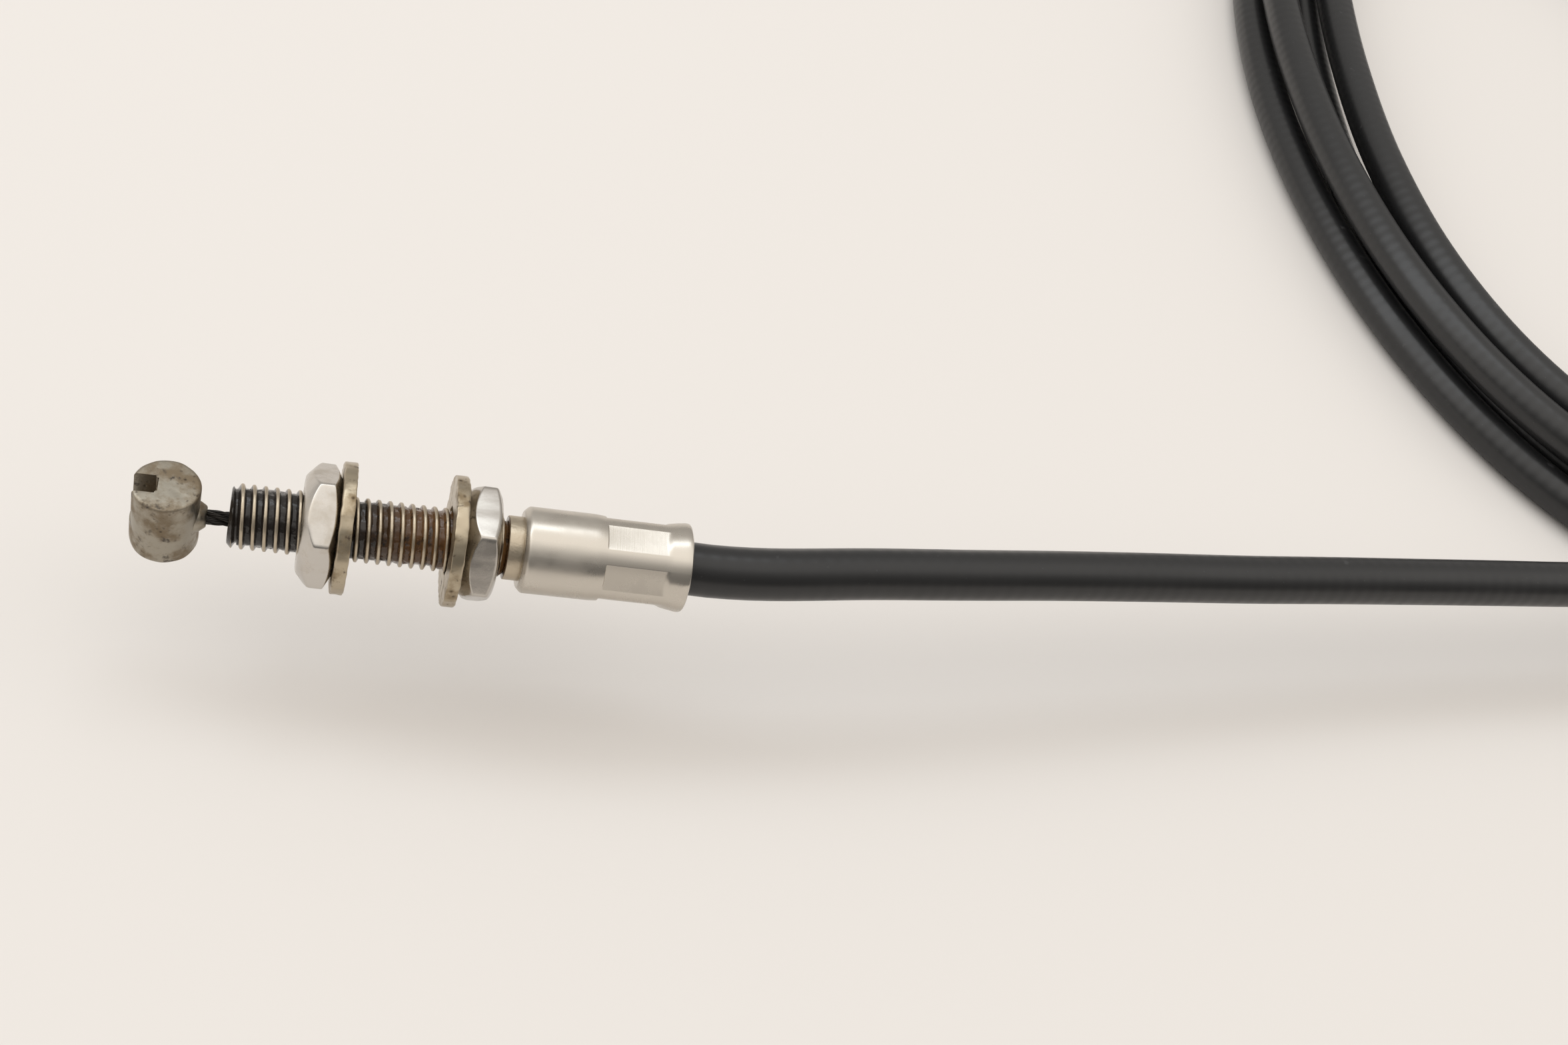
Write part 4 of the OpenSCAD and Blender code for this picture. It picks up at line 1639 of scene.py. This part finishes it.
@dataclass
class CrimpFerrule:
    """The turned sleeve with six crimped flats and a flared mouth, in millimetres."""

    start: float = 11.0
    wall_end: float = 12.8
    hole: float = 2.3
    body: float = 4.0
    bevel: float = 0.45
    crimp: tuple[float, float] = (18.5, 24.3)
    flats: float = 7.4
    turn: float = 37.0
    land: float = 3.925
    mouth: float = 4.17
    end: float = 26.5
    bore: float = 2.5
    dent: tuple[float, float, float] = (-0.3, -3.95, 1.0)
    dent_size: float = 0.9
    dent_depth: float = 0.035
    edge_band: float = 0.4

    def outline(self, angle: float) -> list[Vector]:
        """Gives the sleeve's section at one angle.

        Args:
            angle: The angle.

        Returns:
            The section's points.
        """
        reach = min(self.land, self.flats / 2 / math.cos(math.radians(off_flat(angle, self.turn))))
        pressed = self.land - reach
        begin, stop = self.crimp
        corners = [
            (self.start, self.hole, 0), (self.start, self.body - self.bevel, 0.08),
            (self.start + self.bevel, self.body, 0.2), (begin - 0.9, self.body, 0.3),
            (begin - 0.02, self.land, 0.03), (begin + 0.03 + pressed * 0.15, reach, 0.04),
            (stop - 0.1 - pressed * 0.6, reach, 0.15), (stop + 0.2, self.land, 0.15),
            (self.end - 0.5, self.mouth, 0.3), (self.end, self.mouth - 0.05, 0.4),
            (self.end, self.bore + 0.45, 0.2), (self.end - 0.5, self.bore, 0.1),
            (self.wall_end, self.bore, 0), (self.wall_end, self.hole, 0),
        ]  # fmt: skip
        return filleted(corners)

    def build(self) -> bpy.types.Object:
        """Builds the sleeve, with a small dent in its mouth. The dent's x is counted from the sleeve's end.

        Returns:
            The sleeve.
        """
        edge = math.degrees(math.acos(self.flats / 2 / self.land))
        angles = even_angles(120)
        band = self.edge_band
        for k in range(6):
            for off in (-edge - band, -edge, -edge + band, edge - band, edge, edge + band):
                angles.append((self.turn + 60 * k + off) % 360)
        mesh = turned(self.outline, sorted(angles))
        dent = Vector((self.end + self.dent[0], *self.dent[1:]))
        roughen(mesh, 0.03, 0.5, lambda at: 1.0)
        for vert in mesh.verts:
            near = (vert.co / MM - dent).length
            if near < self.dent_size:
                vert.co.yz *= 1 - self.dent_depth * (1 - near / self.dent_size)
        piece = new_piece("ferrule_sleeve", mesh, Finish.SATIN_NICKEL, 28.0)
        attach(piece, "fitting")
        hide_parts("crimp_ferrule")
        return piece


# ---------------------------------------------------------------- wire and nipples


@dataclass
class PullEnd:
    """A cast barrel nipple on the end of the wire rope, in millimetres, made along +X from the origin."""

    node: str
    wire_node: str
    body: str
    place: Matrix
    slotted: bool
    wire_from: float
    wire_to: float
    radius: float = 3.0
    length: float = 7.5
    top_round: float = 0.35
    foot_round: float = 0.8
    slot: tuple[float, float, float] = (2.0, 2.3, 4.6)
    collar: tuple[float, float] = (1.25, 0.6)
    wire: float = 0.7

    def barrel(self) -> bpy.types.Object:
        """Builds the barrel with its collar and slot.

        Returns:
            The barrel.
        """
        half = self.length / 2
        skin = filleted(
            (
                (-half, 0, 0), (-half, self.radius * 0.5, 0), (-half, self.radius, self.foot_round),
                (-half * 0.4, self.radius, 0), (half * 0.4, self.radius, 0),
                (half, self.radius, self.top_round), (half, self.radius * 0.5, 0), (half, 0, 0),
            ),
            5,
        )  # fmt: skip
        mesh = turned(lambda angle: skin, even_angles(96), closed=False)
        bmesh.ops.rotate(mesh, verts=mesh.verts, matrix=Matrix.Rotation(-math.pi / 2, 3, "Y"))
        roughen(mesh, 0.05, 0.8, lambda at: 1.0)
        piece = new_piece(self.node + "_barrel", mesh, Finish.CAST_ZINC, 40.0)
        if self.slotted:
            width, depth, down = self.slot
            cutter = bmesh.new()
            middle = Vector((-self.radius + depth / 2 - 0.5, 0, half - down / 2 + 0.5))
            add_box(cutter, Vector((depth + 1, width, down + 1)), middle)
            bevel = [e for e in cutter.edges if abs((e.verts[0].co - e.verts[1].co).normalized().y) < 0.5]
            bmesh.ops.bevel(cutter, geom=bevel, offset=0.25 * MM, segments=3, affect="EDGES")
            piece = minus(piece, new_piece("slot cutter", cutter, Finish.CAST_ZINC))
        return piece

    def neck(self) -> bpy.types.Object:
        """Builds the cast collar that runs out onto the wire.

        Returns:
            The collar.
        """
        out, high = self.collar
        reach = self.radius
        skin = filleted(
            (
                (reach - 0.9, self.wire, 0), (reach - 0.9, out + 0.35, 0), (reach - 0.05, out + 0.15, 0.2),
                (reach + high, self.wire + 0.25, 0.15), (reach + high, self.wire, 0),
            )
        )  # fmt: skip
        mesh = turned(lambda angle: skin, even_angles(48))
        roughen(mesh, 0.05, 2.0, lambda at: 1.0)
        return new_piece(self.node + "_collar", mesh, Finish.CAST_ZINC, 40.0)

    def rope(self) -> bpy.types.Object:
        """Builds the wire rope.

        Returns:
            The rope.
        """
        ends = [Vector((self.wire_from, 0, 0)) * MM, Vector((self.wire_to, 0, 0)) * MM]
        line = path_line(self.wire_node + "_rope", ends)
        return WireRope(Finish.GREASED_WIRE).run(line, Radius=self.wire * MM)

    def build(self) -> list[bpy.types.Object]:
        """Builds the nipple, its collar and its wire, and places them.

        Returns:
            The pieces.
        """
        made = [self.barrel(), self.neck(), self.rope()]
        for piece in made:
            piece.data.transform(self.place)
            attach(piece, self.body)
        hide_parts(self.node)
        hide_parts(self.wire_node)
        return made


@dataclass
class FarCap:
    """The plain cap on the housing's far end, in millimetres, made along +X from the coil's end."""

    place: Matrix
    begin: float = 6.0
    end: float = 18.0
    radius: float = 3.0
    inner: float = 2.5
    wall: float = 1.5
    hole: float = 1.0
    groove_deep: float = 0.15

    def build(self) -> bpy.types.Object:
        """Builds the cap.

        Returns:
            The cap.
        """
        floor = self.end - self.wall
        groove = self.radius - self.groove_deep
        skin = filleted(
            (
                (self.begin, self.inner, 0.05), (self.begin, self.radius, 0.15),
                (self.begin + 1.2, self.radius, 0.1), (self.begin + 1.45, groove, 0.1),
                (self.begin + 1.9, groove, 0.1), (self.begin + 2.15, self.radius, 0.1),
                (self.end, self.radius, 0.45), (self.end, self.hole, 0.15),
                (floor, self.hole, 0.05), (floor, self.inner, 0.05),
            )
        )  # fmt: skip
        mesh = turned(lambda angle: skin, even_angles(96))
        piece = new_piece("far_cap_sleeve", mesh, Finish.SATIN_NICKEL, 40.0)
        piece.data.transform(self.place)
        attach(piece, "fitting")
        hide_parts("far_cap")
        return piece


# ---------------------------------------------------------------- the whole cable


@dataclass
class Cable:
    """The cable's sub-assemblies and where its two wire ends stand, in millimetres."""

    pivot_x: float = 19.8
    nipple_x: float = -20.5
    droop: float = 0.7
    tail: float = 7.0
    near_rope_from: float = -0.7
    far_rope_from: float = -3.0
    far_wire_from: float = 14.0
    far_nipple_from_end: float = 40.0

    def near_place(self) -> Matrix:
        """Gives where the near nipple stands. Its wire runs along +X, tipped about its pivot.

        Returns:
            The nipple's place.
        """
        tilt = math.atan(self.droop / (self.pivot_x - self.nipple_x))
        pivot = Matrix.Translation(Vector((self.pivot_x, 0, 0)) * MM)
        run = (self.pivot_x - self.nipple_x) / math.cos(tilt)
        return pivot @ Matrix.Rotation(-tilt, 4, "Y") @ Matrix.Translation(Vector((-run, 0, 0)) * MM)

    def far_place(self) -> Matrix:
        """Gives where the coil ends, with +X along the housing.

        Returns:
            The end's place.
        """
        out = COIL.ahead(COIL.last - 1, COIL.last)
        end = COIL.point(COIL.last) + out * Housing().diameter
        return Matrix.Translation(end * MM) @ Matrix.Rotation(math.atan2(out.y, out.x), 4, "Z")

    def far_nipple_place(self) -> Matrix:
        """Gives where the far nipple stands. Its wire runs along -X and its barrel lies flat."""
        at = Matrix.Translation(Vector((self.far_nipple_from_end, 0, 0)) * MM)
        return self.far_place() @ at @ Matrix.Rotation(math.pi, 4, "Z") @ Matrix.Rotation(math.pi / 2, 4, "X")

    def build(self) -> None:
        """Builds every sub-assembly in order and reports its pieces."""
        far_wire = self.far_nipple_from_end - self.far_wire_from
        place = self.far_nipple_place()
        names = ("far_nipple", "far_inner_wire", "far_pull_end")
        far = PullEnd(*names, place, False, self.far_rope_from, far_wire).build()
        far.append(FarCap(self.far_place()).build())
        report("far end", far)
        report("housing", [Housing().build(far)])
        report("coil tie", [CoilTie().build()])
        span = self.pivot_x - self.nipple_x
        near_tail = self.tail + span / math.cos(math.atan(self.droop / span))
        names = ("nipple", "inner_wire", "pull_end")
        near = PullEnd(*names, self.near_place(), True, self.near_rope_from, near_tail)
        report("pull end", near.build())
        report("adjuster screw", AdjusterScrew().build())
        report("front clamp", ClampPair(Side.FRONT, 0.0, Finish.SATIN_NUT).build())
        report("rear clamp", ClampPair(Side.REAR, 34.0, Finish.BRIGHT_NUT).build())
        report("ferrule", [CrimpFerrule().build()])


def report(name: str, pieces: Sequence[bpy.types.Object]) -> None:
    """Logs a finished sub-assembly.

    Args:
        name: Its name.
        pieces: Its pieces.
    """
    for piece in pieces:
        log.info("%s: %s, %d faces", name, piece.name, len(piece.data.polygons))


def dress_nodes(nodes: dict[str, bpy.types.Object]) -> None:
    """Gives the nodes that stay as they are their finishes.

    Args:
        nodes: The frame's nodes by name.
    """
    finishes = {
        "conduit_end": Finish.CONDUIT,
        "far_conduit_end": Finish.CONDUIT,
        "liner_end": Finish.LINER,
        "far_liner_end": Finish.LINER,
    }
    for name, finish in finishes.items():
        for place in range(len(nodes[name].material_slots)):
            nodes[name].material_slots[place].material = finish.material()


def main() -> None:
    """Builds the camera, the cable and the studio."""
    logging.basicConfig(level=logging.INFO)
    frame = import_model()
    Viewpoint().build()
    Cable().build()
    dress_nodes(frame["nodes"])
    Studio().build()


if __name__ == "__main__":
    main()
